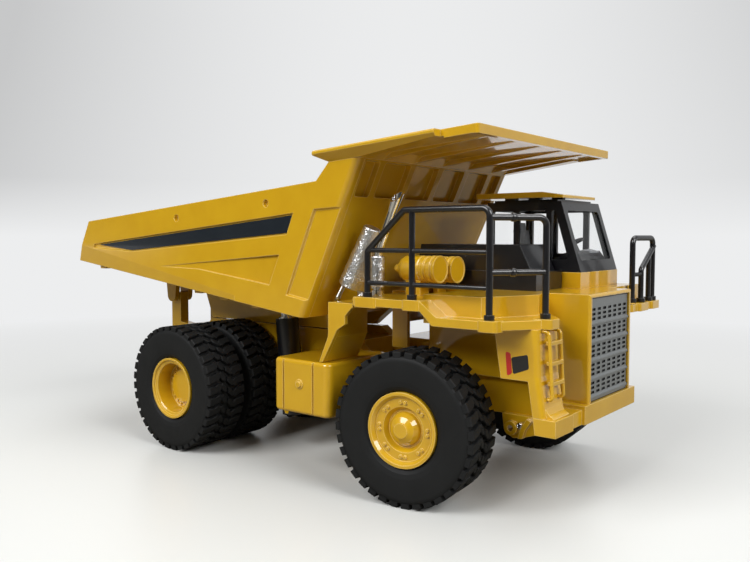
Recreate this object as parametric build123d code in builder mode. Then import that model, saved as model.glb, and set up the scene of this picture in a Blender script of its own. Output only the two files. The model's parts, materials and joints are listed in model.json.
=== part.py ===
from build123d import *
import os
from math import cos, hypot, pi, radians, sin

os.makedirs("parts", exist_ok=True)

# Die-cast scale model of a rigid mining dump truck, in millimetres.
# +X is forward, +Y is the truck's left side, +Z is up, and the wheels stand on Z = 0.
# Stations along the truck are measured from the rear axle, heights from the ground.

# Driving dimensions of the running gear
WHEELBASE = 99.0
TYRE_RADIUS = 22.2
TYRE_WIDTH = 15.6
TYRE_BORE_RADIUS = 10.9
RIM_RADIUS = 10.8
RIM_WALL = 1.0
FRONT_TYRE_OUTER_Y = 47.3
REAR_TYRE_OUTER_Y = 50.2
DUAL_GAP = 4.4
KINGPIN_Y = 36.5
KINGPIN_RADIUS = 1.2
STUB_AXLE_RADIUS = 2.0
REAR_SHAFT_RADIUS = 2.6
RUNNING_CLEARANCE = 0.05
PARKED_STEER_DEG = 7.0

# Driving dimensions of the whole body
TAIL_X = -68.6
BUMPER_FACE_X = 142.2
REAR_AXLE_X = -(TAIL_X + BUMPER_FACE_X) / 2
CANOPY_TOP_Z = 105.9
AXLE_Z = TYRE_RADIUS

# Chassis
RAIL_IN_Y = 8.5
RAIL_OUT_Y = 12.5

# Dump body
BED_HALF_WIDTH = 44.5
BED_WALL = 1.8
HINGE_X = -45.5
HINGE_Z = 51.3
HINGE_PIN_RADIUS = 0.9
CANOPY_HALF_WIDTH = 43.9
CANOPY_FLANGE_Y = 47.3
CANOPY_FRONT_X = 122.7

# Hood, decks and cab
HOOD_HALF_WIDTH = 15.6
HOOD_TOP_Z = 60.4
DECK_OUTER_Y = 46.8
LEDGE_WIDTH = 5.3
LEDGE_THICK = 2.4
CAB_RIGHT_Y = 5.5
CAB_LEFT_Y = 34.6
CAB_BASE_Z = 65.4

# Railings
POST_RADIUS = 0.92
BAR_RADIUS = 0.7
COLLAR_RADIUS = 1.4
COLLAR_HEIGHT = 1.3

# Hoist cylinders
HOIST_Y = 20.0
HOIST_BASE = (32.0, 14.0)
HOIST_EYE = (28.5, 50.6)
HOIST_PIN_RADIUS = 1.2

SIDES = (("right", -1), ("left", 1))


def side_plane(y):
    """Side view at a given Y: local x is the station, local y the height, normal to the right."""
    return Plane(origin=(REAR_AXLE_X, y, 0), x_dir=(1, 0, 0), z_dir=(0, -1, 0))


def plan_plane(z):
    """Plan view at a given height: local x is the station, local y the truck's left."""
    return Plane(origin=(REAR_AXLE_X, 0, z))


def front_plane(x):
    """View along the truck at a given station: local x is the truck's left, local y the height."""
    return Plane(origin=(REAR_AXLE_X + x, 0, 0), x_dir=(0, 1, 0), z_dir=(1, 0, 0))


def filled(plane, points, depth, mode, corner):
    """Outline filled along the plane's normal, with its corners rounded where a radius is given."""
    with BuildSketch(plane) as outline:
        Polygon(*points, align=None)
        if corner:
            fillet(outline.vertices(), corner)
    extrude(outline.sketch, amount=depth, mode=mode)


def side_prism(points, y_a, y_b, mode=Mode.ADD, corner=0.0):
    """Outline drawn in side view, filled between two Y values."""
    filled(side_plane(max(y_a, y_b)), points, abs(y_b - y_a), mode, corner)


def plan_prism(points, z_a, z_b, mode=Mode.ADD, corner=0.0):
    """Outline drawn in plan, filled between two heights."""
    filled(plan_plane(min(z_a, z_b)), points, abs(z_b - z_a), mode, corner)


def front_prism(points, x_a, x_b, mode=Mode.ADD, corner=0.0):
    """Outline drawn across the truck, filled between two stations."""
    filled(front_plane(min(x_a, x_b)), points, abs(x_b - x_a), mode, corner)


def block(x, y, z, mode=Mode.ADD):
    """Box given by its low and high limits along each axis."""
    centre = ((x[0] + x[1]) / 2 + REAR_AXLE_X, (y[0] + y[1]) / 2, (z[0] + z[1]) / 2)
    with Locations(centre):
        Box(abs(x[1] - x[0]), abs(y[1] - y[0]), abs(z[1] - z[0]), mode=mode)


def rod(start, end, radius, mode=Mode.ADD, end_radius=None):
    """Round bar between two points given as (station, y, z)."""
    a = Vector(start[0] + REAR_AXLE_X, start[1], start[2])
    b = Vector(end[0] + REAR_AXLE_X, end[1], end[2])
    with Locations(Plane(origin=a, z_dir=b - a)):
        if end_radius is None:
            Cylinder(radius, (b - a).length, align=(Align.CENTER, Align.CENTER, Align.MIN), mode=mode)
        else:
            Cone(radius, end_radius, (b - a).length,
                 align=(Align.CENTER, Align.CENTER, Align.MIN), mode=mode)


def tube(points, bends, radius):
    """Round tube along straight runs between (station, y, z) points, with a bend radius for each corner."""
    route = [Vector(x + REAR_AXLE_X, y, z) for x, y, z in points]
    with BuildLine() as path:
        FilletPolyline(*route, radius=bends)
    with BuildSketch(Plane(origin=route[0], z_dir=route[1] - route[0])) as section:
        Circle(radius)
    sweep(section.sketch, path=path.line)


def turned(section, plane):
    """Solid of revolution about the plane's Z from a half section of (radius, height) points."""
    section_plane = Plane(origin=plane.origin, x_dir=plane.x_dir, z_dir=plane.x_dir.cross(plane.z_dir))
    with BuildSketch(section_plane) as half:
        Polygon(*section, align=None)
    revolve(half.sketch, axis=Axis(plane.origin, plane.z_dir), revolution_arc=360)


def save(piece, label):
    piece.part.label = label
    export_step(piece.part, f"parts/{label}.step")


def both(s, near, far):
    """Y limits of a piece on side s from its inner and outer distances."""
    return (s * near, s * far)


# Chassis: two deep rails with the hinge posts at the tail and the brackets of the hoist.
FRAME_LOW_Z = 27.0
FRAME_TOP_Z = 43.0
HOIST_PIN_END_Y = HOIST_Y + 3.6
rail_outline = [(-48.5, 31), (-48.5, 52.6), (-42.5, 52.6), (-42.5, 40), (-27, 38), (-22, FRAME_TOP_Z),
                (50, FRAME_TOP_Z), (62, 34), (133.5, 34), (133.5, 23), (88, 23), (80, FRAME_LOW_Z),
                (-40, FRAME_LOW_Z)]
for label, s in SIDES:
    with BuildPart() as frame_rail:
        side_prism(rail_outline, *both(s, RAIL_IN_Y, RAIL_OUT_Y))
        rod((HINGE_X, s * (RAIL_IN_Y - 1), HINGE_Z), (HINGE_X, s * (RAIL_OUT_Y + 1), HINGE_Z),
            HINGE_PIN_RADIUS + RUNNING_CLEARANCE, mode=Mode.SUBTRACT)
        side_prism([(26.5, 28), (37.5, 28), (34.2, 11.8), (29.8, 11.8)],
                   *both(s, RAIL_OUT_Y - 1.5, RAIL_OUT_Y + 1.5))
        rod((HOIST_BASE[0], s * (RAIL_OUT_Y + 1), HOIST_BASE[1]),
            (HOIST_BASE[0], s * HOIST_PIN_END_Y, HOIST_BASE[1]), HOIST_PIN_RADIUS)
    save(frame_rail, f"frame_rail_{label}")

# Cross members between the rails. The end ones have blind holes for screws from a display base.
BASE_HOLE_RADIUS = 1.2
BASE_HOLE_DEPTH = 5.0
BASE_HOLES = ((-45.0, 32.0), (126.0, 24.0))
CROSS_MEMBERS = ((-48.0, -42.5, 32.0, 38.0), (-14.0, 14.0, 31.0, 40.0), (44.0, 56.0, 28.0, 40.0),
                 (76.0, 84.0, 27.0, 33.5), (120.0, 132.0, 24.0, 33.5))
with BuildPart() as cross_members:
    for x_a, x_b, z_a, z_b in CROSS_MEMBERS:
        block((x_a, x_b), (-RAIL_IN_Y, RAIL_IN_Y), (z_a, z_b))
    for x, low_z in BASE_HOLES:
        rod((x, 0, low_z - 1), (x, 0, low_z + BASE_HOLE_DEPTH), BASE_HOLE_RADIUS, mode=Mode.SUBTRACT)
save(cross_members, "cross_members")

# Rear axle: centre housing, round tube and two shafts for the twin wheels.
REAR_INNER_Y = REAR_TYRE_OUTER_Y - 2 * TYRE_WIDTH - DUAL_GAP
REAR_SHAFT_END_Y = REAR_TYRE_OUTER_Y - 6.8
AXLE_TUBE_RADIUS = 4.6
axle_housing = [(0, -8.4), (4.0, -8.4), (7.0, -5.4), (8.2, -1.8), (8.2, 1.8), (7.0, 5.4), (4.0, 8.4),
                (0, 8.4)]
with BuildPart() as rear_axle:
    with Locations((REAR_AXLE_X, 0, AXLE_Z)):
        Cylinder(AXLE_TUBE_RADIUS, 2 * (REAR_INNER_Y - 0.6), rotation=(90, 0, 0))
        Cylinder(REAR_SHAFT_RADIUS, 2 * REAR_SHAFT_END_Y, rotation=(90, 0, 0))
    turned(axle_housing, Plane(origin=(REAR_AXLE_X, 0, AXLE_Z), x_dir=(0, 0, 1), z_dir=(0, 1, 0)))
    for label, s in SIDES:
        block((-6, 6), both(s, RAIL_IN_Y, RAIL_OUT_Y), (AXLE_Z, FRAME_LOW_Z))
save(rear_axle, "rear_axle")

# Front axle: a forged beam with a fork at each end for the knuckles.
FORK_HALF_HEIGHT = 5.6
FORK_PLATE = 1.8
FORK_HALF_WIDTH = 2.4
BEAM_HALF_WIDTH = 2.6
BEAM_Z = (19.4, 23.0)
fork_x = (WHEELBASE - FORK_HALF_WIDTH, WHEELBASE + FORK_HALF_WIDTH)
with BuildPart() as front_axle:
    block((WHEELBASE - BEAM_HALF_WIDTH, WHEELBASE + BEAM_HALF_WIDTH), (-KINGPIN_Y + 5.0, KINGPIN_Y - 5.0),
          BEAM_Z)
    for label, s in SIDES:
        block(fork_x, both(s, KINGPIN_Y - 6.2, KINGPIN_Y - 3.6),
              (AXLE_Z - FORK_HALF_HEIGHT, AXLE_Z + FORK_HALF_HEIGHT))
        for z_side in (-1, 1):
            z_in = AXLE_Z + z_side * (FORK_HALF_HEIGHT - FORK_PLATE)
            z_out = AXLE_Z + z_side * FORK_HALF_HEIGHT
            block(fork_x, both(s, KINGPIN_Y - 4.0, KINGPIN_Y), (z_in, z_out))
            rod((WHEELBASE, s * KINGPIN_Y, z_in), (WHEELBASE, s * KINGPIN_Y, z_out), FORK_HALF_WIDTH)
            rod((WHEELBASE, s * KINGPIN_Y, z_in - 3), (WHEELBASE, s * KINGPIN_Y, z_out + 3),
                KINGPIN_RADIUS + RUNNING_CLEARANCE, mode=Mode.SUBTRACT)
save(front_axle, "front_axle")


def front_wheel_plane(s):
    """Plane on the kingpin's middle, turned by the parked steering angle, Z out of the wheel's face."""
    turn = radians(PARKED_STEER_DEG)
    outward = Vector(-s * sin(turn), s * cos(turn), 0)
    return Plane(origin=(REAR_AXLE_X + WHEELBASE, s * KINGPIN_Y, AXLE_Z), x_dir=(0, 0, 1), z_dir=outward)


# Tyres: a flat-sided tread ring for each half of the width, with the lugs of one half between the
# lugs of the other. The inner tyre of a pair has its lugs right across.
LUGS = 36
LUG_DEPTH = 1.35
LUG_TIP_SHARE = 0.36
BORE_SIDES = 18
# Corners of one lug: share of the pitch from its middle, radius.
LUG_OUTLINE = ((-LUG_TIP_SHARE, TYRE_RADIUS), (LUG_TIP_SHARE - 0.5, TYRE_RADIUS),
               (0.5 - LUG_TIP_SHARE, TYRE_RADIUS), (LUG_TIP_SHARE, TYRE_RADIUS),
               (0.5, TYRE_RADIUS - LUG_DEPTH))
PLAIN_LUG_OUTLINE = (LUG_OUTLINE[0], LUG_OUTLINE[3], LUG_OUTLINE[4])


def tread_ring(plane, z_a, z_b, phase, lug_outline):
    """Ring with a lug at each pitch of the tyre, between two distances along the plane's normal."""
    pitch = 2 * pi / LUGS
    outline = []
    for lug in range(LUGS):
        for share, radius in lug_outline:
            angle = (lug + phase + share) * pitch
            outline.append((radius * cos(angle), radius * sin(angle)))
    with BuildSketch(plane.offset(z_a)) as ring:
        Polygon(*outline, align=None)
        RegularPolygon(TYRE_BORE_RADIUS / cos(pi / BORE_SIDES), BORE_SIDES, mode=Mode.SUBTRACT)
    extrude(ring.sketch, amount=z_b - z_a)


def tyre(plane, z_mid, staggered):
    """One tyre with its middle plane at a distance along the plane's normal."""
    if staggered:
        tread_ring(plane, z_mid - TYRE_WIDTH / 2, z_mid, 0.5, LUG_OUTLINE)
        tread_ring(plane, z_mid, z_mid + TYRE_WIDTH / 2, 0.0, LUG_OUTLINE)
    else:
        tread_ring(plane, z_mid - TYRE_WIDTH / 2, z_mid + TYRE_WIDTH / 2, 0.0, PLAIN_LUG_OUTLINE)


def bolt_ring(plane, z, turns, radius, head_radius, head_height):
    """Round bolt heads at the given turns, in degrees, standing on a face of the rim."""
    for turn in turns:
        place = (radius * cos(radians(turn)), radius * sin(radians(turn)), z - 0.2)
        with Locations(plane * Pos(*place)):
            Cylinder(head_radius, head_height + 0.2, align=(Align.CENTER, Align.CENTER, Align.MIN))


# Front wheels: a domed hub with a flat cap in a shallow dish, and eight pairs of bolts on its flange.
FRONT_MID = FRONT_TYRE_OUTER_Y - TYRE_WIDTH / 2 - KINGPIN_Y
FRONT_FACE = FRONT_TYRE_OUTER_Y - KINGPIN_Y
HUB_BORE = STUB_AXLE_RADIUS + RUNNING_CLEARANCE
RIM_IN_RADIUS = RIM_RADIUS - RIM_WALL
front_rim_section = [(HUB_BORE, 4.2), (HUB_BORE, 8.2), (0, 8.2), (0, FRONT_FACE + 0.2),
                     (2.1, FRONT_FACE + 0.2), (2.4, FRONT_FACE - 0.1), (3.7, FRONT_FACE - 0.9),
                     (4.6, FRONT_FACE - 2.0), (5.0, FRONT_FACE - 3.1), (5.5, FRONT_FACE - 3.1),
                     (6.5, FRONT_FACE - 1.5), (9.0, FRONT_FACE - 1.5), (9.2, FRONT_FACE - 1.0),
                     (9.9, FRONT_FACE - 0.2), (RIM_RADIUS, FRONT_FACE - 0.2),
                     (RIM_RADIUS, FRONT_FACE - TYRE_WIDTH + 1.0),
                     (RIM_IN_RADIUS, FRONT_FACE - TYRE_WIDTH + 1.0),
                     (RIM_IN_RADIUS, FRONT_FACE - 4.6), (5.4, FRONT_FACE - 4.6), (3.8, 4.2)]
KNUCKLE_RADIUS = 2.3
STUB_FLANGE_RADIUS = 3.0
STUB_FLANGE_LENGTH = 3.6
STUB_AXLE_LENGTH = 8.0
FRONT_BOLT_TURNS = [pair * 45 + offset for pair in range(8) for offset in (-5.5, 5.5)]
for label, s in SIDES:
    plane = front_wheel_plane(s)
    with BuildPart() as front_tyre:
        tyre(plane, FRONT_MID, staggered=True)
    save(front_tyre, f"front_tyre_{label}")
    with BuildPart() as front_rim:
        turned(front_rim_section, plane)
        bolt_ring(plane, FRONT_FACE - 1.5, FRONT_BOLT_TURNS, 7.75, 0.5, 0.45)
    save(front_rim, f"front_rim_{label}")
    with BuildPart() as knuckle:
        with Locations(plane):
            Cylinder(KNUCKLE_RADIUS, 2 * (FORK_HALF_HEIGHT - FORK_PLATE - 0.15), rotation=(0, 90, 0))
            Cylinder(KINGPIN_RADIUS, 2 * FORK_HALF_HEIGHT, rotation=(0, 90, 0))
            Cylinder(STUB_FLANGE_RADIUS, STUB_FLANGE_LENGTH, align=(Align.CENTER, Align.CENTER, Align.MIN))
            Cylinder(STUB_AXLE_RADIUS, STUB_AXLE_LENGTH, align=(Align.CENTER, Align.CENTER, Align.MIN))
    save(knuckle, f"knuckle_{label}")

# Rear twin wheels: two tyres on one deep rim, with a ring of bolts round the flat hub cover inside.
REAR_OUTER_MID = REAR_TYRE_OUTER_Y - TYRE_WIDTH / 2
REAR_INNER_MID = REAR_INNER_Y + TYRE_WIDTH / 2
REAR_FACE = REAR_TYRE_OUTER_Y - 0.3
SHAFT_BORE = REAR_SHAFT_RADIUS + RUNNING_CLEARANCE
rear_rim_section = [(SHAFT_BORE, REAR_INNER_Y + 3.0), (SHAFT_BORE, REAR_FACE - 6.2), (0, REAR_FACE - 6.2),
                    (0, REAR_FACE - 5.2), (5.8, REAR_FACE - 5.2), (6.0, REAR_FACE - 6.4),
                    (8.5, REAR_FACE - 6.4), (8.8, REAR_FACE - 1.0), (9.1, REAR_FACE - 0.8),
                    (9.7, REAR_FACE - 0.7), (10.1, REAR_FACE), (RIM_RADIUS, REAR_FACE),
                    (RIM_RADIUS, REAR_INNER_Y + 1.0), (RIM_IN_RADIUS, REAR_INNER_Y + 1.0),
                    (RIM_IN_RADIUS, REAR_FACE - 10.0), (6.2, REAR_FACE - 10.0), (6.2, REAR_INNER_Y + 3.0)]
REAR_BOLT_TURNS = [bolt * 18 for bolt in range(20)]
for label, s in SIDES:
    plane = Plane(origin=(REAR_AXLE_X, 0, AXLE_Z), x_dir=(0, 0, 1), z_dir=(0, s, 0))
    with BuildPart() as rear_tyres:
        tyre(plane, REAR_OUTER_MID, staggered=True)
        tyre(plane, REAR_INNER_MID, staggered=False)
    save(rear_tyres, f"rear_tyres_{label}")
    with BuildPart() as rear_rim:
        turned(rear_rim_section, plane)
        bolt_ring(plane, REAR_FACE - 6.4, REAR_BOLT_TURNS, 7.2, 0.42, 0.5)
    save(rear_rim, f"rear_rim_{label}")

# Dump body. Its lower edge climbs towards the tail, and the front wall leans forward.
FLOOR_TAIL = (TAIL_X, 66.5)
FLOOR_FRONT = (59.7, 50.9)
FLOOR_SLOPE = (FLOOR_FRONT[1] - FLOOR_TAIL[1]) / (FLOOR_FRONT[0] - FLOOR_TAIL[0])
FLOOR_THICK = 2.4
FRONT_CORNER = (79.7, 93.1)
FRONT_LEAN = (FRONT_CORNER[0] - FLOOR_FRONT[0]) / (FRONT_CORNER[1] - FLOOR_FRONT[1])
WALL_THICK = 4.0
POST_IN_Y = 41.0
CORNER_RADIUS = 2.2

FLANGE_TIP_X = 67.0
FLANGE_TIP_Z = 102.1
CANOPY_SLOPE = (CANOPY_TOP_Z - FLANGE_TIP_Z) / (CANOPY_FRONT_X - FLANGE_TIP_X)
CANOPY_PLATE = 1.6
FLANGE_DEPTH = 3.6


def floor_z(x, lift=0.0):
    """Height of the body's lower edge at a station."""
    return FLOOR_FRONT[1] + (x - FLOOR_FRONT[0]) * FLOOR_SLOPE + lift


def front_x(z, back=0.0):
    """Station of the front wall's leaning face at a height."""
    return FLOOR_FRONT[0] + (z - FLOOR_FRONT[1]) * FRONT_LEAN - back


def canopy_z(x, drop=0.0):
    """Height of the canopy's top at a station."""
    return CANOPY_TOP_Z - (CANOPY_FRONT_X - x) * CANOPY_SLOPE - drop


def wall_foot(lift, back):
    """Point where the front wall's face, set back, meets the floor's lower face, lifted."""
    x = FLOOR_FRONT[0] + (lift * FRONT_LEAN - back) / (1 - FLOOR_SLOPE * FRONT_LEAN)
    return (x, floor_z(x, lift))


def wall_head(drop, back=0.0):
    """Point where the front wall's face, set back, meets the canopy's top face, dropped."""
    rise = canopy_z(0, drop) - FLOOR_FRONT[1]
    x = (FLOOR_FRONT[0] - back + rise * FRONT_LEAN) / (1 - CANOPY_SLOPE * FRONT_LEAN)
    return (x, canopy_z(x, drop))


# Side walls: a plate with a post at its front corner. A shallow facet runs along the lower edge,
# a pocket deepens forward above it, and the recesses have sloping borders.
TOP_EDGE_TAIL = (-59.6, 82.5)
TOP_EDGE_FRONT = (66.1, 93.3)
RISER_TOP = (71.3, canopy_z(71.3, FLANGE_DEPTH))
side_outline = [FLOOR_TAIL, TOP_EDGE_TAIL, TOP_EDGE_FRONT, RISER_TOP, wall_head(FLANGE_DEPTH), FLOOR_FRONT]
post_outline = [wall_foot(0, WALL_THICK), wall_head(FLANGE_DEPTH, WALL_THICK), wall_head(FLANGE_DEPTH),
                FLOOR_FRONT]
stripe_outline = [(-52.2, 73.1), (55.7, 83.1), (53.1, 77.6), (-30.5, 71.2)]
STRIPE_DEPTH = 0.7
STRIPE_INLAY = 0.35
stripe_recess = [(-57.0, 71.7), (-56.0, 73.4), (56.3, 83.8), (53.3, 77.0), (-30.3, 70.6)]
corner_recess = [(65.0, 84.8), (80.0, 85.6), (67.0, 55.5), (52.8, 57.8)]
CORNER_RECESS_DEPTH = 0.8
BORDER_SLOPE_DEG = 30
pocket_outline = [(-12.5, 65.4), (49.9, 70.6), (45.3, 60.7), (9.5, 65.0)]
POCKET_DEPTH = 0.95
FOLD_TAIL = (-75.0, 74.6)
FOLD_FRONT = (28.5, 56.6)
FACET_SLOPE = 0.165
FACET_REACH = 12.0
SIDE_HOLES = ((-2.4, 83.0), (44.0, 87.1))
HOLE_RADIUS = 0.85
HOLE_MOUTH_RADIUS = 1.3


def side_recess(s, points, depth):
    """Recess cut into a side wall from outside, its border sloping inwards."""
    face = Plane(origin=(REAR_AXLE_X, s * BED_HALF_WIDTH, 0), x_dir=(1, 0, 0), z_dir=(0, -s, 0))
    with BuildSketch(face) as outline:
        Polygon(*[(x, s * z) for x, z in points], align=None)
    extrude(outline.sketch, amount=depth, taper=BORDER_SLOPE_DEG, mode=Mode.SUBTRACT)


def lower_facet(s):
    """Cut below the fold line that leans the wall's lower edge inwards."""
    run = FOLD_FRONT[0] - FOLD_TAIL[0]
    drop = FOLD_FRONT[1] - FOLD_TAIL[1]
    middle = (REAR_AXLE_X + (FOLD_FRONT[0] + FOLD_TAIL[0]) / 2, s * BED_HALF_WIDTH,
              (FOLD_FRONT[1] + FOLD_TAIL[1]) / 2)
    across = Plane(origin=middle, x_dir=(0, s, 0), z_dir=(s * run, 0, s * drop))
    with BuildSketch(across) as section:
        Polygon((0, 0), (1, 0), (1, -FACET_REACH), (-FACET_SLOPE * FACET_REACH, -FACET_REACH), align=None)
    extrude(section.sketch, amount=hypot(run, drop) / 2, both=True, mode=Mode.SUBTRACT)


for label, s in SIDES:
    with BuildPart() as pocket:
        side_prism(pocket_outline, *both(s, BED_HALF_WIDTH - BED_WALL, BED_HALF_WIDTH + 1))
        plan_prism([(-14.0, s * BED_HALF_WIDTH), (50.0, s * (BED_HALF_WIDTH - POCKET_DEPTH)),
                    (50.0, s * (BED_HALF_WIDTH + 1)), (-14.0, s * (BED_HALF_WIDTH + 1))], 58, 74,
                   mode=Mode.INTERSECT)
    with BuildPart() as bed_side:
        side_prism(side_outline, *both(s, BED_HALF_WIDTH - BED_WALL, BED_HALF_WIDTH))
        side_prism(post_outline, *both(s, POST_IN_Y, BED_HALF_WIDTH))
        leaning = bed_side.edges().filter_by(Axis((0, 0, 0), (FRONT_LEAN, 0, 1)))
        fillet(leaning.sort_by(lambda edge: edge.center().X + s * edge.center().Y)[-1], CORNER_RADIUS)
        side_recess(s, stripe_recess, STRIPE_DEPTH)
        side_recess(s, corner_recess, CORNER_RECESS_DEPTH)
        lower_facet(s)
        add(pocket.part, mode=Mode.SUBTRACT)
        for hole_x, hole_z in SIDE_HOLES:
            rod((hole_x, s * (BED_HALF_WIDTH - 1.2), hole_z), (hole_x, s * (BED_HALF_WIDTH + 0.1), hole_z),
                HOLE_RADIUS, mode=Mode.SUBTRACT, end_radius=HOLE_MOUTH_RADIUS)
    save(bed_side, f"bed_side_{label}")
    with BuildPart() as stripe:
        side_prism(stripe_outline,
                   *both(s, BED_HALF_WIDTH - STRIPE_DEPTH, BED_HALF_WIDTH - STRIPE_DEPTH + STRIPE_INLAY))
    save(stripe, f"bed_stripe_{label}")

# Floor, with stiffening ribs across its underside.
FLOOR_HALF = BED_HALF_WIDTH - BED_WALL
FLOOR_RIB_DEPTH = 1.3
FLOOR_RIB_HALF = 2.2
FLOOR_RIB_XS = (-54.0, 6.0, 20.0, 36.0)
with BuildPart() as bed_floor:
    side_prism([FLOOR_TAIL, (FLOOR_TAIL[0] + 1.2, FLOOR_TAIL[1] + FLOOR_THICK),
                wall_foot(FLOOR_THICK, WALL_THICK), wall_foot(0, WALL_THICK)], -FLOOR_HALF, FLOOR_HALF)
    for x in FLOOR_RIB_XS:
        rib = [(x - FLOOR_RIB_HALF, floor_z(x - FLOOR_RIB_HALF, 0.5)),
               (x + FLOOR_RIB_HALF, floor_z(x + FLOOR_RIB_HALF, 0.5)),
               (x + FLOOR_RIB_HALF - 0.5, floor_z(x, -FLOOR_RIB_DEPTH)),
               (x - FLOOR_RIB_HALF + 0.5, floor_z(x, -FLOOR_RIB_DEPTH))]
        for label, s in SIDES:
            side_prism(rib, *both(s, RAIL_OUT_Y + 10.5, FLOOR_HALF - 0.8))
save(bed_floor, "bed_floor")

# Front wall, with a row of recessed panels between upright ribs below the canopy.
RIB_PITCH = 16.0
RIB_YS = [RIB_PITCH * k for k in (-2, -1, 0, 1, 2)]
WALL_RIB_WIDTH = 2.6
PANEL_DEPTH = 2.2
PANEL_LOW_Z = 88.5
PANEL_TOP_Z = 99.0
PANEL_CORNER = 0.9
PANEL_END_Y = 40.2
panel_edges = [-PANEL_END_Y - WALL_RIB_WIDTH / 2] + RIB_YS + [PANEL_END_Y + WALL_RIB_WIDTH / 2]
with BuildPart() as panels:
    for left, right in zip(panel_edges, panel_edges[1:]):
        y_a = left + WALL_RIB_WIDTH / 2
        y_b = right - WALL_RIB_WIDTH / 2
        front_prism([(y_a, PANEL_LOW_Z), (y_b, PANEL_LOW_Z), (y_b, PANEL_TOP_Z), (y_a, PANEL_TOP_Z)], 70, 90,
                    corner=PANEL_CORNER)
    below = PANEL_LOW_Z - 1
    above = PANEL_TOP_Z + 1
    side_prism([(front_x(below, PANEL_DEPTH), below), (front_x(below, -3), below),
                (front_x(above, -3), above), (front_x(above, PANEL_DEPTH), above)],
               -BED_HALF_WIDTH, BED_HALF_WIDTH, mode=Mode.INTERSECT)
with BuildPart() as bed_front_wall:
    side_prism([wall_foot(0, WALL_THICK), FLOOR_FRONT, wall_head(CANOPY_PLATE),
                wall_head(CANOPY_PLATE, WALL_THICK)], -POST_IN_Y, POST_IN_Y)
    add(panels.part, mode=Mode.SUBTRACT)
save(bed_front_wall, "bed_front_wall")

# Canopy over the cab: a plate with a lip, tapering ribs below, and flanges along its sides.
LIP_WIDTH = 1.8
LIP_DEPTH = 2.6
FLANGE_END_X = 111.0
FLANGE_EDGE = 1.1
RIB_DEPTH = 1.9
RIB_WIDTH = 1.5
RIB_END_X = 119.0
COVE = 2.2
lip_back_x = CANOPY_FRONT_X - LIP_WIDTH
flange_front_x = FLANGE_END_X + 1
flange_back_x = FLANGE_TIP_X - 1


def canopy_point(x, drop):
    """Point at a station, dropped from the canopy's top."""
    return (x, canopy_z(x, drop))


with BuildPart() as bed_canopy:
    side_prism([wall_head(0, WALL_THICK), (CANOPY_FRONT_X, CANOPY_TOP_Z),
                (CANOPY_FRONT_X, CANOPY_TOP_Z - LIP_DEPTH), (lip_back_x, CANOPY_TOP_Z - LIP_DEPTH),
                canopy_point(lip_back_x, CANOPY_PLATE), wall_head(CANOPY_PLATE, WALL_THICK)],
               -CANOPY_HALF_WIDTH, CANOPY_HALF_WIDTH)
    fillet(bed_canopy.edges().filter_by(Axis.Z).sort_by(Axis.X)[-2:], 1.0)
    flange_length = hypot(FLANGE_END_X - FLANGE_TIP_X, canopy_z(FLANGE_END_X) - FLANGE_TIP_Z)
    for label, s in SIDES:
        with BuildSketch(front_plane(FLANGE_TIP_X)) as flange:
            Polygon((s * POST_IN_Y, FLANGE_TIP_Z), (s * (CANOPY_FLANGE_Y - 0.4), FLANGE_TIP_Z),
                    (s * CANOPY_FLANGE_Y, FLANGE_TIP_Z - 0.4),
                    (s * CANOPY_FLANGE_Y, FLANGE_TIP_Z - FLANGE_EDGE),
                    (s * BED_HALF_WIDTH, FLANGE_TIP_Z - FLANGE_DEPTH),
                    (s * POST_IN_Y, FLANGE_TIP_Z - FLANGE_DEPTH),
                    align=None)
        extrude(flange.sketch, amount=flange_length, dir=Vector(1, 0, CANOPY_SLOPE).normalized())
        side_prism([canopy_point(FLANGE_END_X - 1, 1.0), canopy_point(CANOPY_FRONT_X - 1, 1.0),
                    canopy_point(CANOPY_FRONT_X - 1, 2.4), canopy_point(FLANGE_END_X - 1, 2.4)],
                   *both(s, CANOPY_HALF_WIDTH - 1.2, CANOPY_HALF_WIDTH))
    side_prism([canopy_point(flange_back_x, 0.9), RISER_TOP, (RISER_TOP[0], RISER_TOP[1] - 2),
                (flange_back_x, RISER_TOP[1] - 2)], -50, 50, mode=Mode.SUBTRACT)
    taper_start = wall_head(FLANGE_DEPTH)
    side_prism([taper_start, canopy_point(flange_front_x, 1.9), canopy_point(flange_front_x, 6),
                (taper_start[0], taper_start[1] - 2)], -50, 50, mode=Mode.SUBTRACT)
    cove_top = wall_head(CANOPY_PLATE - 0.3)
    side_prism([cove_top, canopy_point(cove_top[0] + COVE, CANOPY_PLATE - 0.3),
                canopy_point(cove_top[0] + COVE, CANOPY_PLATE), wall_head(CANOPY_PLATE + COVE)],
               -POST_IN_Y, POST_IN_Y)
    for rib_y in RIB_YS:
        side_prism([wall_head(CANOPY_PLATE - 0.3), canopy_point(RIB_END_X, CANOPY_PLATE - 0.3),
                    canopy_point(RIB_END_X, CANOPY_PLATE + 0.15), wall_head(CANOPY_PLATE + RIB_DEPTH)],
                   rib_y - RIB_WIDTH / 2, rib_y + RIB_WIDTH / 2)
save(bed_canopy, "bed_canopy")

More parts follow.
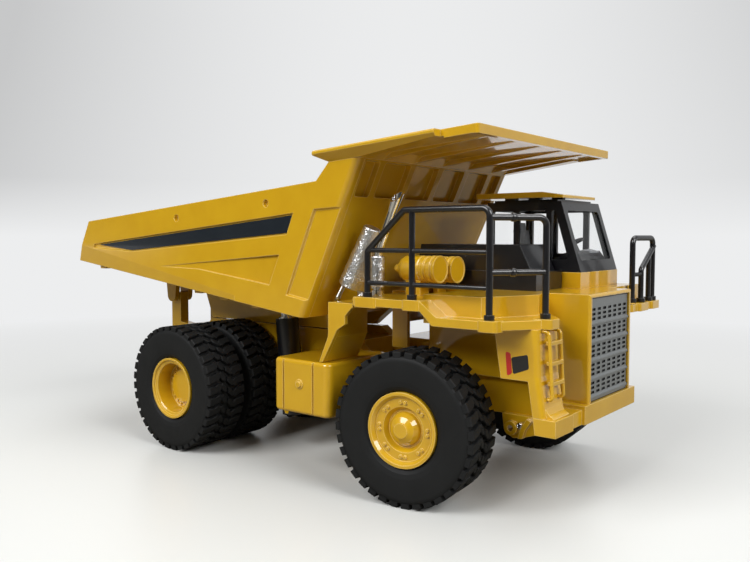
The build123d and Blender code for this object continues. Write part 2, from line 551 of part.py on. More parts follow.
# Bolsters under the floor, with the hinge lugs and the hoist eyes, and the bars between them.
BOLSTER_LOW_Z = FRAME_TOP_Z + 0.4
LUG_SIDE_GAP = 0.3
LUG_THICK = 2.2
LUG_RADIUS = 2.6
EAR_THICK = 1.6
for label, s in SIDES:
    with BuildPart() as bolster:
        side_prism([(-29, floor_z(-29)), (-21.5, BOLSTER_LOW_Z), (46, BOLSTER_LOW_Z), (56, floor_z(56))],
                   *both(s, RAIL_IN_Y, RAIL_OUT_Y))
        for near in (RAIL_IN_Y - LUG_SIDE_GAP - LUG_THICK, RAIL_OUT_Y + LUG_SIDE_GAP):
            side_prism([(HINGE_X - 4, floor_z(HINGE_X - 4)), (HINGE_X - LUG_RADIUS, HINGE_Z),
                        (HINGE_X + LUG_RADIUS, HINGE_Z), (HINGE_X + 4, floor_z(HINGE_X + 4))],
                       *both(s, near, near + LUG_THICK))
            rod((HINGE_X, s * near, HINGE_Z), (HINGE_X, s * (near + LUG_THICK), HINGE_Z), LUG_RADIUS)
        rod((HINGE_X, s * (RAIL_IN_Y - LUG_SIDE_GAP - 2.0), HINGE_Z),
            (HINGE_X, s * (RAIL_OUT_Y + LUG_SIDE_GAP + 2.0), HINGE_Z), HINGE_PIN_RADIUS)
        for near in (HOIST_Y - 3.8, HOIST_Y + 2.2):
            side_prism([(HOIST_EYE[0] - 3.2, floor_z(HOIST_EYE[0] - 3.2)),
                        (HOIST_EYE[0] - 1.8, HOIST_EYE[1] - 1.2), (HOIST_EYE[0] + 1.8, HOIST_EYE[1] - 1.2),
                        (HOIST_EYE[0] + 3.2, floor_z(HOIST_EYE[0] + 3.2))],
                       *both(s, near, near + EAR_THICK))
    save(bolster, f"bolster_{label}")
with BuildPart() as bolster_bars:
    for x, bar_y in ((-34, RAIL_OUT_Y), (50, RAIL_IN_Y)):
        block((x - 1.5, x + 1.5), (-bar_y, bar_y), (floor_z(x) - 3, floor_z(x + 1.5)))
save(bolster_bars, "bolster_bars")

# Hoist cylinders: barrel on a cross pin of the frame, a middle stage and the rod with its eye.
hoist_dx = HOIST_EYE[0] - HOIST_BASE[0]
hoist_dz = HOIST_EYE[1] - HOIST_BASE[1]
HOIST_LENGTH = hypot(hoist_dx, hoist_dz)
BARREL_TOP = 33.0
BARREL_RADIUS = 4.1
BARREL_BORE = 3.1
STAGE_TOP = 33.6
STAGE_RADIUS = 3.04
STAGE_BORE = 2.0
ROD_RADIUS = 1.95
BASE_EYE = (2.6, 2.4)
ROD_EYE = (1.9, 1.9)


def cross_rod(s, place, half, radius, mode=Mode.ADD):
    """Round bar across a hoist cylinder at a (station, height) place, with its half length."""
    near, far = both(s, HOIST_Y - half, HOIST_Y + half)
    rod((place[0], near, place[1]), (place[0], far, place[1]), radius, mode=mode)


for label, s in SIDES:
    def along(distance):
        """Point on this side's cylinder at a distance from its base pin."""
        share = distance / HOIST_LENGTH
        return (HOIST_BASE[0] + hoist_dx * share, s * HOIST_Y, HOIST_BASE[1] + hoist_dz * share)

    with BuildPart() as barrel:
        rod(along(-1.5), along(BARREL_TOP), BARREL_RADIUS)
        cross_rod(s, HOIST_BASE, BASE_EYE[1], BASE_EYE[0])
        rod(along(1.7), along(HOIST_LENGTH), BARREL_BORE, mode=Mode.SUBTRACT)
        cross_rod(s, HOIST_BASE, BARREL_RADIUS + 2, HOIST_PIN_RADIUS + RUNNING_CLEARANCE, mode=Mode.SUBTRACT)
    save(barrel, f"hoist_barrel_{label}")
    with BuildPart() as stage:
        rod(along(1.9), along(STAGE_TOP), STAGE_RADIUS)
        rod(along(3.1), along(HOIST_LENGTH), STAGE_BORE, mode=Mode.SUBTRACT)
    save(stage, f"hoist_stage_{label}")
    with BuildPart() as piston:
        rod(along(3.3), along(HOIST_LENGTH - 1.0), ROD_RADIUS)
        cross_rod(s, HOIST_EYE, ROD_EYE[1], ROD_EYE[0])
    save(piston, f"hoist_rod_{label}")

# Hood: the radiator's frame with rounded edges at the front, the engine's sides behind it, and a low
# plate with legs that closes the gap between the decks at the rear.
HOOD_REAR_X = 88.3
HOOD_FRONT_X = 141.8
HOOD_LOW_Z = 34.2
HOOD_EDGE = 0.7
GRILLE_HALF = 14.0
GRILLE_LOW_Z = 29.95
GRILLE_TOP_Z = 59.3
GRILLE_BACK_X = 140.6
GRILLE_GAP = 0.15
REAR_LEDGE_Z = 58.8
FRONT_LEDGE_Z = 54.7
REAR_PLATE_X = 73.5
REAR_LEG_X = 79.6
REAR_LEG_LOW_Z = 40.0
CROSS_WALL_LOW_Z = 47.8
RADIATOR_REAR_X = 133.9
RADIATOR_LOW_Z = 29.9
with BuildPart() as hood:
    block((HOOD_REAR_X, HOOD_FRONT_X), (-HOOD_HALF_WIDTH, HOOD_HALF_WIDTH), (HOOD_LOW_Z, HOOD_TOP_Z))
    block((RADIATOR_REAR_X, HOOD_FRONT_X), (-HOOD_HALF_WIDTH, HOOD_HALF_WIDTH),
          (RADIATOR_LOW_Z, HOOD_LOW_Z + 0.1))
    nose = hood.faces().sort_by(Axis.X)[-1]
    fillet(nose.edges().sort_by(Axis.Z)[1:], HOOD_EDGE)
    block((GRILLE_BACK_X, HOOD_FRONT_X + 1), (-GRILLE_HALF - GRILLE_GAP, GRILLE_HALF + GRILLE_GAP),
          (RADIATOR_LOW_Z - 0.6, GRILLE_TOP_Z + GRILLE_GAP), mode=Mode.SUBTRACT)
    block((REAR_PLATE_X, HOOD_REAR_X + 0.1), (-HOOD_HALF_WIDTH, HOOD_HALF_WIDTH),
          (REAR_LEDGE_Z - LEDGE_THICK, REAR_LEDGE_Z))
    block((REAR_PLATE_X, REAR_PLATE_X + 1.6), (-HOOD_HALF_WIDTH, HOOD_HALF_WIDTH),
          (CROSS_WALL_LOW_Z, REAR_LEDGE_Z - 1))
    for label, s in SIDES:
        block((REAR_PLATE_X, REAR_LEG_X), both(s, HOOD_HALF_WIDTH - 1.5, HOOD_HALF_WIDTH),
              (REAR_LEG_LOW_Z, REAR_LEDGE_Z - 1))
save(hood, "hood")

# Grille: five bands of slots below a plain head, with a sloping strip standing out under each band.
BANDS = 5
BAND_PITCH = 5.2
BAND_TOP_Z = 56.85
SLOT_ROWS = 3
SLOT_COLUMNS = 7
FIRST_ROW_DROP = 0.85
ROW_PITCH = 1.32
COLUMN_PITCH = 3.85
SLOT_WIDTH = 2.4
SLOT_HEIGHT = 0.75
SLOT_DEPTH = 0.35
GRILLE_FACE_X = 141.2
STRIP_PROUD = 0.4
band_tops = [BAND_TOP_Z - band * BAND_PITCH for band in range(BANDS)]
slot_centres = [(REAR_AXLE_X + GRILLE_FACE_X, (column - (SLOT_COLUMNS - 1) / 2) * COLUMN_PITCH,
                 top_z - FIRST_ROW_DROP - row * ROW_PITCH)
                for top_z in band_tops for row in range(SLOT_ROWS) for column in range(SLOT_COLUMNS)]
with BuildPart() as grille:
    block((GRILLE_BACK_X, GRILLE_FACE_X), (-GRILLE_HALF, GRILLE_HALF), (GRILLE_LOW_Z, GRILLE_TOP_Z))
    with Locations(*slot_centres):
        Box(2 * SLOT_DEPTH, SLOT_WIDTH, SLOT_HEIGHT, mode=Mode.SUBTRACT)
    for top_z in band_tops:
        side_prism([(GRILLE_FACE_X - 0.2, top_z - 4.1), (GRILLE_FACE_X, top_z - 4.1),
                    (GRILLE_FACE_X + STRIP_PROUD, top_z - 4.6), (GRILLE_FACE_X + STRIP_PROUD, top_z - 5.1),
                    (GRILLE_FACE_X - 0.2, top_z - 5.1)], -GRILLE_HALF, GRILLE_HALF)
save(grille, "grille")

# Front bumper with a step block at its right end, under the ladder.
STEP_TOP_Z = 29.2
BUMPER_LOW_Z = 24.7
BUMPER_HALF_WIDTH = 18.8
STEP_Y = (26.4, 37.2)
with BuildPart() as front_bumper:
    block((133.6, BUMPER_FACE_X), (-BUMPER_HALF_WIDTH, BUMPER_HALF_WIDTH), (BUMPER_LOW_Z, RADIATOR_LOW_Z))
    side_prism([(135.7, STEP_TOP_Z), (BUMPER_FACE_X, STEP_TOP_Z), (BUMPER_FACE_X, BUMPER_LOW_Z),
                (136.3, BUMPER_LOW_Z)], *both(-1, *STEP_Y))
    plan_prism([(134.5, -18), (141.2, -18), (141.2, -27), (136.3, -27)], BUMPER_LOW_Z, 28.8)
save(front_bumper, "front_bumper")

# Tow eyes under the front of the frame: a skid plate with the eye's ring, a screw and a curved hook.
EYE = (117.6, 19.5)
TOW_SCREW = (120.3, 20.5)
skid_outline = [(114.2, 23.5), (128.0, 23.5), (128.0, 19.2), (125.3, 18.2), (120.9, 16.8), (117.9, 16.3),
                (115.7, 17.4), (114.6, 19.5)]
hook_outline = [(122.9, 22.9), (124.4, 22.3), (122.4, 19.4), (121.6, 16.9), (120.1, 16.6), (120.9, 19.6)]
with BuildPart() as tow_eyes:
    for label, s in SIDES:
        side_prism(skid_outline, *both(s, RAIL_OUT_Y, RAIL_OUT_Y + 2.0))
        side_prism(hook_outline, *both(s, RAIL_OUT_Y + 1.5, RAIL_OUT_Y + 3.3))
        rod((EYE[0], s * RAIL_OUT_Y, EYE[1]), (EYE[0], s * (RAIL_OUT_Y + 3.4), EYE[1]), 2.1)
        rod((EYE[0], s * (RAIL_OUT_Y - 1), EYE[1]), (EYE[0], s * (RAIL_OUT_Y + 5), EYE[1]), 0.9,
            mode=Mode.SUBTRACT)
        rod((TOW_SCREW[0], s * (RAIL_OUT_Y + 1.8), TOW_SCREW[1]),
            (TOW_SCREW[0], s * (RAIL_OUT_Y + 2.6), TOW_SCREW[1]), 0.85)
save(tow_eyes, "tow_eyes")

# Decks over the front wheels: a stepped outer ledge and a raised platform against the hood. A rounded
# boss stands under each foot of the railings: (x_a, x_b, y_a, y_b, low z, deck height).
LEDGE_IN_Y = DECK_OUTER_Y - LEDGE_WIDTH
DECK_REAR_X = 82.6
PLATFORM_X = 104.0
P3_X = 127.0
P4 = (136.5, 32.0)
BOSS_RISE = 0.2
BOSS_CORNER = 1.2
FRONT_LOW_Z = FRONT_LEDGE_Z - LEDGE_THICK
REAR_LOW_Z = REAR_LEDGE_Z - LEDGE_THICK
RIGHT_BOSSES = ((82.8, 91.4, 42.4, 47.2, REAR_LOW_Z - 0.4, REAR_LEDGE_Z),
                (100.2, 106.4, 42.4, 47.2, REAR_LOW_Z - 0.4, REAR_LEDGE_Z),
                (124.4, 130.2, 42.4, 47.2, FRONT_LOW_Z - 0.4, FRONT_LEDGE_Z),
                (133.9, 139.4, 29.6, 34.9, FRONT_LOW_Z, FRONT_LEDGE_Z))
LEFT_BOSSES = ((134.6, 140.2, 28.4, 36.8, FRONT_LOW_Z, FRONT_LEDGE_Z),
               (135.8, 140.2, 39.4, 47.2, FRONT_LOW_Z, FRONT_LEDGE_Z))
FENDER_LOW_Z = 38.6
FENDER_OUT_Y = 37.2
FENDER_IN_Y = 25.4
# The left fender box stands further back and further in than the right one, and has no ladder.
LEFT_FENDER_BACK = 4.0
LEFT_FENDER_IN = 5.0
FENDER_SHEET = 1.8
FENDER_ROUND = 1.6
fender_outline = [(124.0, FRONT_LOW_Z), (126.2, FENDER_LOW_Z), (134.2, FENDER_LOW_Z), (135.7, STEP_TOP_Z),
                  (139.0, STEP_TOP_Z), (137.2, 40.0), (136.6, FRONT_LOW_Z)]
fender_inside = [(122.0, FRONT_LOW_Z + 1), (136.6 - FENDER_SHEET, FRONT_LOW_Z + 1),
                 (137.2 - FENDER_SHEET, 40.0), (139.1 - FENDER_SHEET, STEP_TOP_Z - 0.5),
                 (122.0, STEP_TOP_Z - 0.5)]
LADDER_YS = (27.6, 34.2)
LADDER_TOP = (138.6, 51.7)
LADDER_FOOT = (139.8, 33.9)
LADDER_BAR = 0.5
RUNG_ZS = (38.1, 43.3, 48.6)
foot_ramp = [(138.0, 33.6), (138.7, 31.6), (139.6, 30.3), (141.2, STEP_TOP_Z), (137.0, STEP_TOP_Z)]
mudguard_lip = [(73.0, 56.0), (72.9, 46.5), (69.3, 38.5), (70.6, 38.5)]
for label, s in SIDES:
    front_edge = [(139.2, s * DECK_OUTER_Y), (139.2, s * (HOOD_HALF_WIDTH + 9.0)),
                  (134.0, s * HOOD_HALF_WIDTH)]
    platform_edge = [(134.6, s * LEDGE_IN_Y), (134.6, s * HOOD_HALF_WIDTH)]
    if s < 0:
        front_edge = [(P3_X + 1.5, s * DECK_OUTER_Y), (P4[0] + 2.6, s * (P4[1] - 0.6)),
                      (P4[0] + 2.6, s * 29.2), (136.7, s * 25.2), (128.8, s * HOOD_HALF_WIDTH)]
        platform_edge = [(122.6, s * LEDGE_IN_Y), (130.4, s * 23.7), (127.5, s * HOOD_HALF_WIDTH)]
    with BuildPart() as deck:
        plan_prism([(DECK_REAR_X, s * HOOD_HALF_WIDTH), (DECK_REAR_X, s * DECK_OUTER_Y),
                    (106.3, s * DECK_OUTER_Y), (106.3, s * HOOD_HALF_WIDTH)], REAR_LOW_Z, REAR_LEDGE_Z)
        side_prism([(106.0, REAR_LEDGE_Z), (106.3, REAR_LEDGE_Z), (111.8, FRONT_LEDGE_Z),
                    (111.8, FRONT_LOW_Z), (110.4, FRONT_LOW_Z), (106.0, REAR_LOW_Z)],
                   *both(s, HOOD_HALF_WIDTH, DECK_OUTER_Y))
        plan_prism([(111.5, s * HOOD_HALF_WIDTH), (111.5, s * DECK_OUTER_Y)] + front_edge,
                   FRONT_LOW_Z, FRONT_LEDGE_Z)
        plan_prism([(PLATFORM_X, s * HOOD_HALF_WIDTH), (PLATFORM_X, s * LEDGE_IN_Y)] + platform_edge,
                   FRONT_LOW_Z, HOOD_TOP_Z)
        for x_a, x_b, y_a, y_b, low_z, ledge_z in (RIGHT_BOSSES if s < 0 else LEFT_BOSSES):
            plan_prism([(x_a, s * y_a), (x_b, s * y_a), (x_b, s * y_b), (x_a, s * y_b)], low_z,
                       ledge_z + BOSS_RISE, corner=BOSS_CORNER)
    save(deck, f"deck_{label}")
    with BuildPart() as mudguard:
        side_prism(mudguard_lip + [(76.4, 48.6), (79.5, 50.6), (79.5, 53.0), (82.5, 56.0)],
                   *both(s, DECK_OUTER_Y - 1.4, DECK_OUTER_Y))
        side_prism(mudguard_lip + [(74.4, 46.2), (74.6, 56.0)], *both(s, 30.0, DECK_OUTER_Y))
        block((73.0, 82.5), both(s, HOOD_HALF_WIDTH + 0.05, DECK_OUTER_Y), (55.6, 56.9))
    save(mudguard, f"mudguard_{label}")
    back, inward = (0.0, 0.0) if s < 0 else (LEFT_FENDER_BACK, LEFT_FENDER_IN)
    with BuildPart() as fender_box:
        side_prism([(x - back, z) for x, z in fender_outline],
                   *both(s, FENDER_IN_Y - inward, FENDER_OUT_Y - inward))
        front_corner = [edge for edge in fender_box.edges()
                        if abs(edge.center().Y - s * (FENDER_OUT_Y - inward)) < 0.01
                        and edge.center().X > REAR_AXLE_X + 136 - back and 30 < edge.center().Z < 50]
        fillet(front_corner, FENDER_ROUND)
        side_prism([(x - back, z) for x, z in fender_inside],
                   *both(s, FENDER_IN_Y - inward - 1, FENDER_OUT_Y - inward - FENDER_SHEET),
                   mode=Mode.SUBTRACT)
        if s < 0:
            side_prism(foot_ramp, *both(s, FENDER_IN_Y + 1.2, FENDER_OUT_Y - 1.4))
    save(fender_box, f"fender_box_{label}")

with BuildPart() as ladder:
    for y in LADDER_YS:
        tube([(136.75, -y, LADDER_TOP[1]), (LADDER_TOP[0], -y, LADDER_TOP[1]),
              (LADDER_FOOT[0], -y, LADDER_FOOT[1]), (138.3, -y, LADDER_FOOT[1])], (1.2, 0.8), LADDER_BAR)
    for rung_z in RUNG_ZS:
        climb = (LADDER_TOP[1] - rung_z) / (LADDER_TOP[1] - LADDER_FOOT[1])
        rung_x = LADDER_TOP[0] + (LADDER_FOOT[0] - LADDER_TOP[0]) * climb - 0.3
        block((rung_x - 0.8, rung_x + 0.8), both(-1, *LADDER_YS), (rung_z - 0.5, rung_z + 0.5))
save(ladder, "ladder")

# Tanks hung on the frame between the axles, with rounded edges, two grooves and a round filler cap.
TANK_X = (49.8, 73.6)
TANK_Z = (21.3, 38.2)
TANK_OUT_Y = 47.4
TANK_CORNER = 2.4
TANK_EDGE = 1.2
TANK_GROOVE_XS = (54.5, 67.1)
TANK_GROOVE_DEPTH = 0.45
TANK_CAP = (61.4, 30.7)
CAP_RING_RADIUS = 1.5
CAP_RADIUS = 0.9
# Brackets on the frame rail: x_a, x_b, z_a, z_b.
TANK_BRACKETS = ((53.0, 57.0, 27.0, 37.0), (65.0, 69.0, 27.0, 33.5))
for label, s in SIDES:
    with BuildPart() as tank:
        block(TANK_X, both(s, 17.0, TANK_OUT_Y), TANK_Z)
        fillet(tank.edges().filter_by(Axis.Z), TANK_CORNER)
        fillet(tank.faces().sort_by(Axis.Z)[-1].edges(), TANK_EDGE)
        fillet(tank.faces().sort_by(Axis.Z)[0].edges(), TANK_EDGE)
        for x in TANK_GROOVE_XS:
            block((x - 0.35, x + 0.35), both(s, TANK_OUT_Y - TANK_GROOVE_DEPTH, TANK_OUT_Y + 0.6), (20, 40),
                  mode=Mode.SUBTRACT)
        rod((TANK_CAP[0], s * (TANK_OUT_Y - 0.4), TANK_CAP[1]),
            (TANK_CAP[0], s * (TANK_OUT_Y + 0.3), TANK_CAP[1]), CAP_RING_RADIUS)
        rod((TANK_CAP[0], s * TANK_OUT_Y, TANK_CAP[1]),
            (TANK_CAP[0], s * (TANK_OUT_Y + 0.8), TANK_CAP[1]), CAP_RADIUS)
        for x_a, x_b, z_a, z_b in TANK_BRACKETS:
            block((x_a, x_b), both(s, RAIL_OUT_Y, 18.0), (z_a, z_b))
    save(tank, "fuel_tank" if s < 0 else "hydraulic_tank")

# Air cleaners on the right deck: lipped caps facing forward, banded bodies and a domed knob at the rear.
CLEANERS = ((-27.5, 100.2, 66.7), (-18.8, 100.7, 66.3))
cleaner_section = [(0, 0), (3.7, 0), (3.8, 0.2), (4.1, 0.2), (4.1, -0.7), (3.75, -0.9), (3.75, -1.3),
                   (4.1, -1.5), (4.1, -2.3), (3.6, -2.6), (3.6, -3.6), (4.0, -3.8), (4.0, -4.8),
                   (3.75, -5.0), (3.75, -5.7), (4.0, -5.9), (4.0, -11.6), (3.5, -12.9), (2.2, -13.9),
                   (1.3, -14.2), (1.3, -15.6), (0.8, -16.4), (0, -16.6)]
with BuildPart() as air_cleaners:
    for y, face_x, z in CLEANERS:
        turned(cleaner_section,
               Plane(origin=(REAR_AXLE_X + face_x, y, z), x_dir=(0, 0, 1), z_dir=(1, 0, 0)))
        for x in (face_x - 11.0, face_x - 7.2):
            block((x, x + 1.6), (y - 2.2, y + 2.2), (REAR_LEDGE_Z, z - 3.2))
save(air_cleaners, "air_cleaners")

# Black cover over the engine, between the air cleaners and the cab.
COVER_Y = (-12.8, 4.6)
COVER_REAR_X = 80.0
COVER_SHOULDER_Z = 66.0
COVER_TOP_Z = 74.0
with BuildPart() as engine_cover:
    block((HOOD_REAR_X, 124.0), COVER_Y, (HOOD_TOP_Z, COVER_SHOULDER_Z))
    block((COVER_REAR_X, HOOD_REAR_X), COVER_Y, (REAR_LEDGE_Z, COVER_SHOULDER_Z))
    side_prism([(COVER_REAR_X + 0.6, COVER_SHOULDER_Z - 0.1), (COVER_REAR_X + 2.4, COVER_TOP_Z),
                (118.0, COVER_TOP_Z), (122.0, COVER_SHOULDER_Z - 0.1)], COVER_Y[0] + 1.0, COVER_Y[1] - 0.8)
save(engine_cover, "engine_cover")

# Muffler leaning with the front wall of the dump body, on a foot, with its inlet pipe behind.
MUFFLER_Y = -34.5
MUFFLER_LOW = (72.1, 60.9)
MUFFLER_TOP = (80.2, 79.2)
MUFFLER_RADII = (4.6, 2.7)
with BuildPart() as muffler:
    rod((MUFFLER_LOW[0], MUFFLER_Y, MUFFLER_LOW[1]), (MUFFLER_TOP[0], MUFFLER_Y, MUFFLER_TOP[1]),
        MUFFLER_RADII[0], end_radius=MUFFLER_RADII[1])
    rod((75.4, MUFFLER_Y, 56.9), (75.4, MUFFLER_Y, 61.5), 1.1)
    rod((69.4, MUFFLER_Y, 62.4), (65.3, MUFFLER_Y, 56.0), 0.75)
save(muffler, "muffler")

# Exhaust pipe: a thick foot on the deck, a leaning stack, and a flared end cut off to an oval mouth.
PIPE_Y = -37.5
PIPE_FOOT = (84.5, REAR_LEDGE_Z)
PIPE_BEND = (84.5, 71.0)
PIPE_END = (91.3, 87.3)
PIPE_RADIUS = 1.3
JACKET_RADIUS = 1.9
MOUTH_RADIUS = 1.95
MOUTH_BORE_RADIUS = 1.6
pipe_lean = (Vector(PIPE_END[0], 0, PIPE_END[1]) - Vector(PIPE_BEND[0], 0, PIPE_BEND[1])).normalized()


def up_the_pipe(distance):
    """Point on the leaning stack's middle line at a distance past its flare's foot."""
    foot = Vector(PIPE_END[0], PIPE_Y, PIPE_END[1]) - pipe_lean * 4.0
    return tuple(foot + pipe_lean * distance)


with BuildPart() as exhaust_pipe:
    tube([(PIPE_FOOT[0], PIPE_Y, PIPE_FOOT[1]), (PIPE_BEND[0], PIPE_Y, PIPE_BEND[1]), up_the_pipe(0.5)],
         (3.0,), PIPE_RADIUS)
    rod((PIPE_FOOT[0], PIPE_Y, PIPE_FOOT[1]), (PIPE_FOOT[0], PIPE_Y, PIPE_FOOT[1] + 1.6), JACKET_RADIUS)
    rod((PIPE_FOOT[0], PIPE_Y, PIPE_FOOT[1] + 2.2), (PIPE_FOOT[0], PIPE_Y, 70.4), JACKET_RADIUS)
    rod(up_the_pipe(0), up_the_pipe(7.0), PIPE_RADIUS + 0.02, end_radius=MOUTH_RADIUS)
    mouth = Vector(*up_the_pipe(4.8)) + Vector(REAR_AXLE_X, 0, 0)
    with Locations(Plane(origin=mouth, z_dir=(-0.05, -0.68, 0.73))):
        Box(9, 9, 6, align=(Align.CENTER, Align.CENTER, Align.MIN), mode=Mode.SUBTRACT)
    rod(up_the_pipe(2.6), up_the_pipe(8.0), 1.1, mode=Mode.SUBTRACT, end_radius=MOUTH_BORE_RADIUS)
save(exhaust_pipe, "exhaust_pipe")

# Railings: bent tubes with straight bars let into them, each post in a collar on its deck.
def collars(feet):
    """A collar on the deck round the foot of each post at (station, y, deck height)."""
    for x, y, z in feet:
        rod((x, y, z), (x, y, z + COLLAR_HEIGHT), COLLAR_RADIUS)


REAR_FOOT_Z = REAR_LEDGE_Z + BOSS_RISE
FRONT_FOOT_Z = FRONT_LEDGE_Z + BOSS_RISE
P1, P2, P3, P4R = (86.7, -45.0), (102.5, -45.0), (127.0, -45.0), (136.5, -32.2)
RAIL_TOP_Z = 83.8
RAIL_MIDDLE_Z = 72.5
RAIL_LOW_Z = 63.1
CORNER_TOP_Z = 81.4
CORNER_LOW_Z = 67.2
with BuildPart() as rail_right:
    tube([(*P1, REAR_FOOT_Z), (*P1, RAIL_MIDDLE_Z - 0.3), (99.8, P1[1], RAIL_TOP_Z), (*P3, RAIL_TOP_Z),
          (*P3, FRONT_FOOT_Z)], (1.3, 1.8, 2.2), POST_RADIUS)
    tube([(*P3, CORNER_TOP_Z), (*P4R, CORNER_TOP_Z), (*P4R, FRONT_FOOT_Z)], (2.2,), POST_RADIUS - 0.04)
    rod((*P2, REAR_FOOT_Z), (*P2, RAIL_TOP_Z), POST_RADIUS - 0.06)
    for z in (RAIL_MIDDLE_Z, RAIL_LOW_Z):
        rod((*P1, z), (*P3, z), BAR_RADIUS)
    rod((*P3, CORNER_LOW_Z), (*P4R, CORNER_LOW_Z), POST_RADIUS - 0.1)
    collars([(*P1, REAR_FOOT_Z), (*P2, REAR_FOOT_Z), (*P3, FRONT_FOOT_Z), (*P4R, FRONT_FOOT_Z)])
save(rail_right, "rail_right")

F1, F2, H1, H2 = (136.6, 30.4), (138.0, 45.2), (138.0, 34.6), (138.0, 41.5)
GATE_TOP_Z = 75.9
HANDRAIL_LOW_Z = 65.6
HANDRAIL_END = (138.0, 46.2, 73.2)
handrail_rise = (HANDRAIL_END[2] - HANDRAIL_LOW_Z) / (HANDRAIL_END[1] - H1[1])
with BuildPart() as rail_left:
    tube([(*F1, FRONT_FOOT_Z), (*F1, GATE_TOP_Z), (*F2, GATE_TOP_Z), (*F2, FRONT_FOOT_Z)], (2.0, 2.0),
         POST_RADIUS)
    tube([(*H1, FRONT_FOOT_Z), (*H1, HANDRAIL_LOW_Z), HANDRAIL_END], (1.3,), POST_RADIUS - 0.04)
    rod((*H2, FRONT_FOOT_Z), (*H2, HANDRAIL_LOW_Z + (H2[1] - H1[1]) * handrail_rise), POST_RADIUS - 0.1)
    rod((*F1, HANDRAIL_LOW_Z - 1.6), (*H1, HANDRAIL_LOW_Z - 1.6), BAR_RADIUS)
    collars([(*foot, FRONT_FOOT_Z) for foot in (F1, F2, H1, H2)])
save(rail_left, "rail_left")

# Cab: yellow base, black shell with its windows cut, clear panes, yellow roof plate.
CAB_FRONT_LOW = (129.8, CAB_BASE_Z)
CAB_TOP_Z = 87.4
CAB_FRONT_TOP = (123.0, CAB_TOP_Z)
CAB_REAR_X = 97.0
CROWN_Z = 88.1
ROOF_LOW_Z = 88.6
CAB_WALL = 1.2
with BuildPart() as cab_base:
    block((CAB_REAR_X, 129.8), (CAB_RIGHT_Y, CAB_LEFT_Y + 0.4), (HOOD_TOP_Z, CAB_BASE_Z))
save(cab_base, "cab_base")

cab_outline = [(CAB_REAR_X, CAB_BASE_Z), CAB_FRONT_LOW, CAB_FRONT_TOP, (CAB_REAR_X, CAB_TOP_Z)]
cab_inner = [(CAB_REAR_X + CAB_WALL, CAB_BASE_Z - 1), (CAB_FRONT_LOW[0] - 1.0, CAB_BASE_Z - 1),
             (CAB_FRONT_TOP[0] - 0.9, CAB_TOP_Z - CAB_WALL), (CAB_REAR_X + CAB_WALL, CAB_TOP_Z - CAB_WALL)]
side_windows = ([(99.2, 70.5), (106.6, 70.5), (106.6, 84.5), (99.2, 84.5)],
                [(108.6, 70.5), (118.0, 70.5), (118.0, 84.5), (108.6, 84.5)],
                [(119.9, 69.2), (125.6, 69.2), (121.0, 84.5), (119.9, 84.5)])
SCREEN_Y = (CAB_RIGHT_Y + 2.4, CAB_LEFT_Y - 2.4)
screen_outline = [(SCREEN_Y[0], 69.0), (SCREEN_Y[1], 69.0), (SCREEN_Y[1], 84.6), (SCREEN_Y[0], 84.6)]
rear_outline = [(SCREEN_Y[0], 73.0), (SCREEN_Y[1], 73.0), (SCREEN_Y[1], 84.6), (SCREEN_Y[0], 84.6)]
WINDOW_CORNER = 0.5
SCREEN_CORNER = 1.5
with BuildPart() as cab_shell:
    side_prism(cab_outline, CAB_RIGHT_Y, CAB_LEFT_Y)
    side_prism(cab_inner, CAB_RIGHT_Y + CAB_WALL, CAB_LEFT_Y - CAB_WALL, mode=Mode.SUBTRACT)
    for window in side_windows:
        side_prism(window, CAB_RIGHT_Y - 1, CAB_LEFT_Y + 1, mode=Mode.SUBTRACT, corner=WINDOW_CORNER)
    front_prism(screen_outline, 115, 135, mode=Mode.SUBTRACT, corner=SCREEN_CORNER)
    front_prism(rear_outline, 94, 104, mode=Mode.SUBTRACT, corner=SCREEN_CORNER)
    block((98.6, 121.0), (CAB_RIGHT_Y + 1.7, CAB_LEFT_Y - 1.7), (CAB_TOP_Z - 0.2, CROWN_Z))
    for x in (104, 112.5):
        for y in (9, 26):
            block((x - 2.0, x + 2.0), (y - 1, y + 1), (CROWN_Z - 0.1, ROOF_LOW_Z))
save(cab_shell, "cab_shell")

PANE = 0.5
lean = (CAB_FRONT_TOP[0] - CAB_FRONT_LOW[0]) / (CAB_FRONT_TOP[1] - CAB_FRONT_LOW[1])
PANE_Z = (68.0, 85.6)
screen_x = [CAB_FRONT_LOW[0] + (z - CAB_BASE_Z) * lean - 0.4 for z in PANE_Z]
with BuildPart() as windscreen:
    front_prism(screen_outline, 115, 135, corner=SCREEN_CORNER)
    side_prism([(screen_x[0], PANE_Z[0]), (screen_x[1], PANE_Z[1]), (screen_x[1] - PANE, PANE_Z[1]),
                (screen_x[0] - PANE, PANE_Z[0])],
               CAB_RIGHT_Y, CAB_LEFT_Y, mode=Mode.INTERSECT)
with BuildPart() as cab_glass:
    add(windscreen.part)
    front_prism(rear_outline, CAB_REAR_X + 0.3, CAB_REAR_X + 0.3 + PANE, corner=SCREEN_CORNER)
    for window in side_windows:
        side_prism(window, CAB_RIGHT_Y + 0.3, CAB_RIGHT_Y + 0.3 + PANE, corner=WINDOW_CORNER)
        side_prism(window, CAB_LEFT_Y - 0.3 - PANE, CAB_LEFT_Y - 0.3, corner=WINDOW_CORNER)
save(cab_glass, "cab_glass")

with BuildPart() as cab_roof:
    side_prism([(93.4, ROOF_LOW_Z), (93.4, 90.4), (117.2, 90.4), (124.2, 89.3), (124.2, 88.4),
                (117.2, ROOF_LOW_Z)], CAB_RIGHT_Y - 1.3, CAB_LEFT_Y - 5.8)
save(cab_roof, "cab_roof")

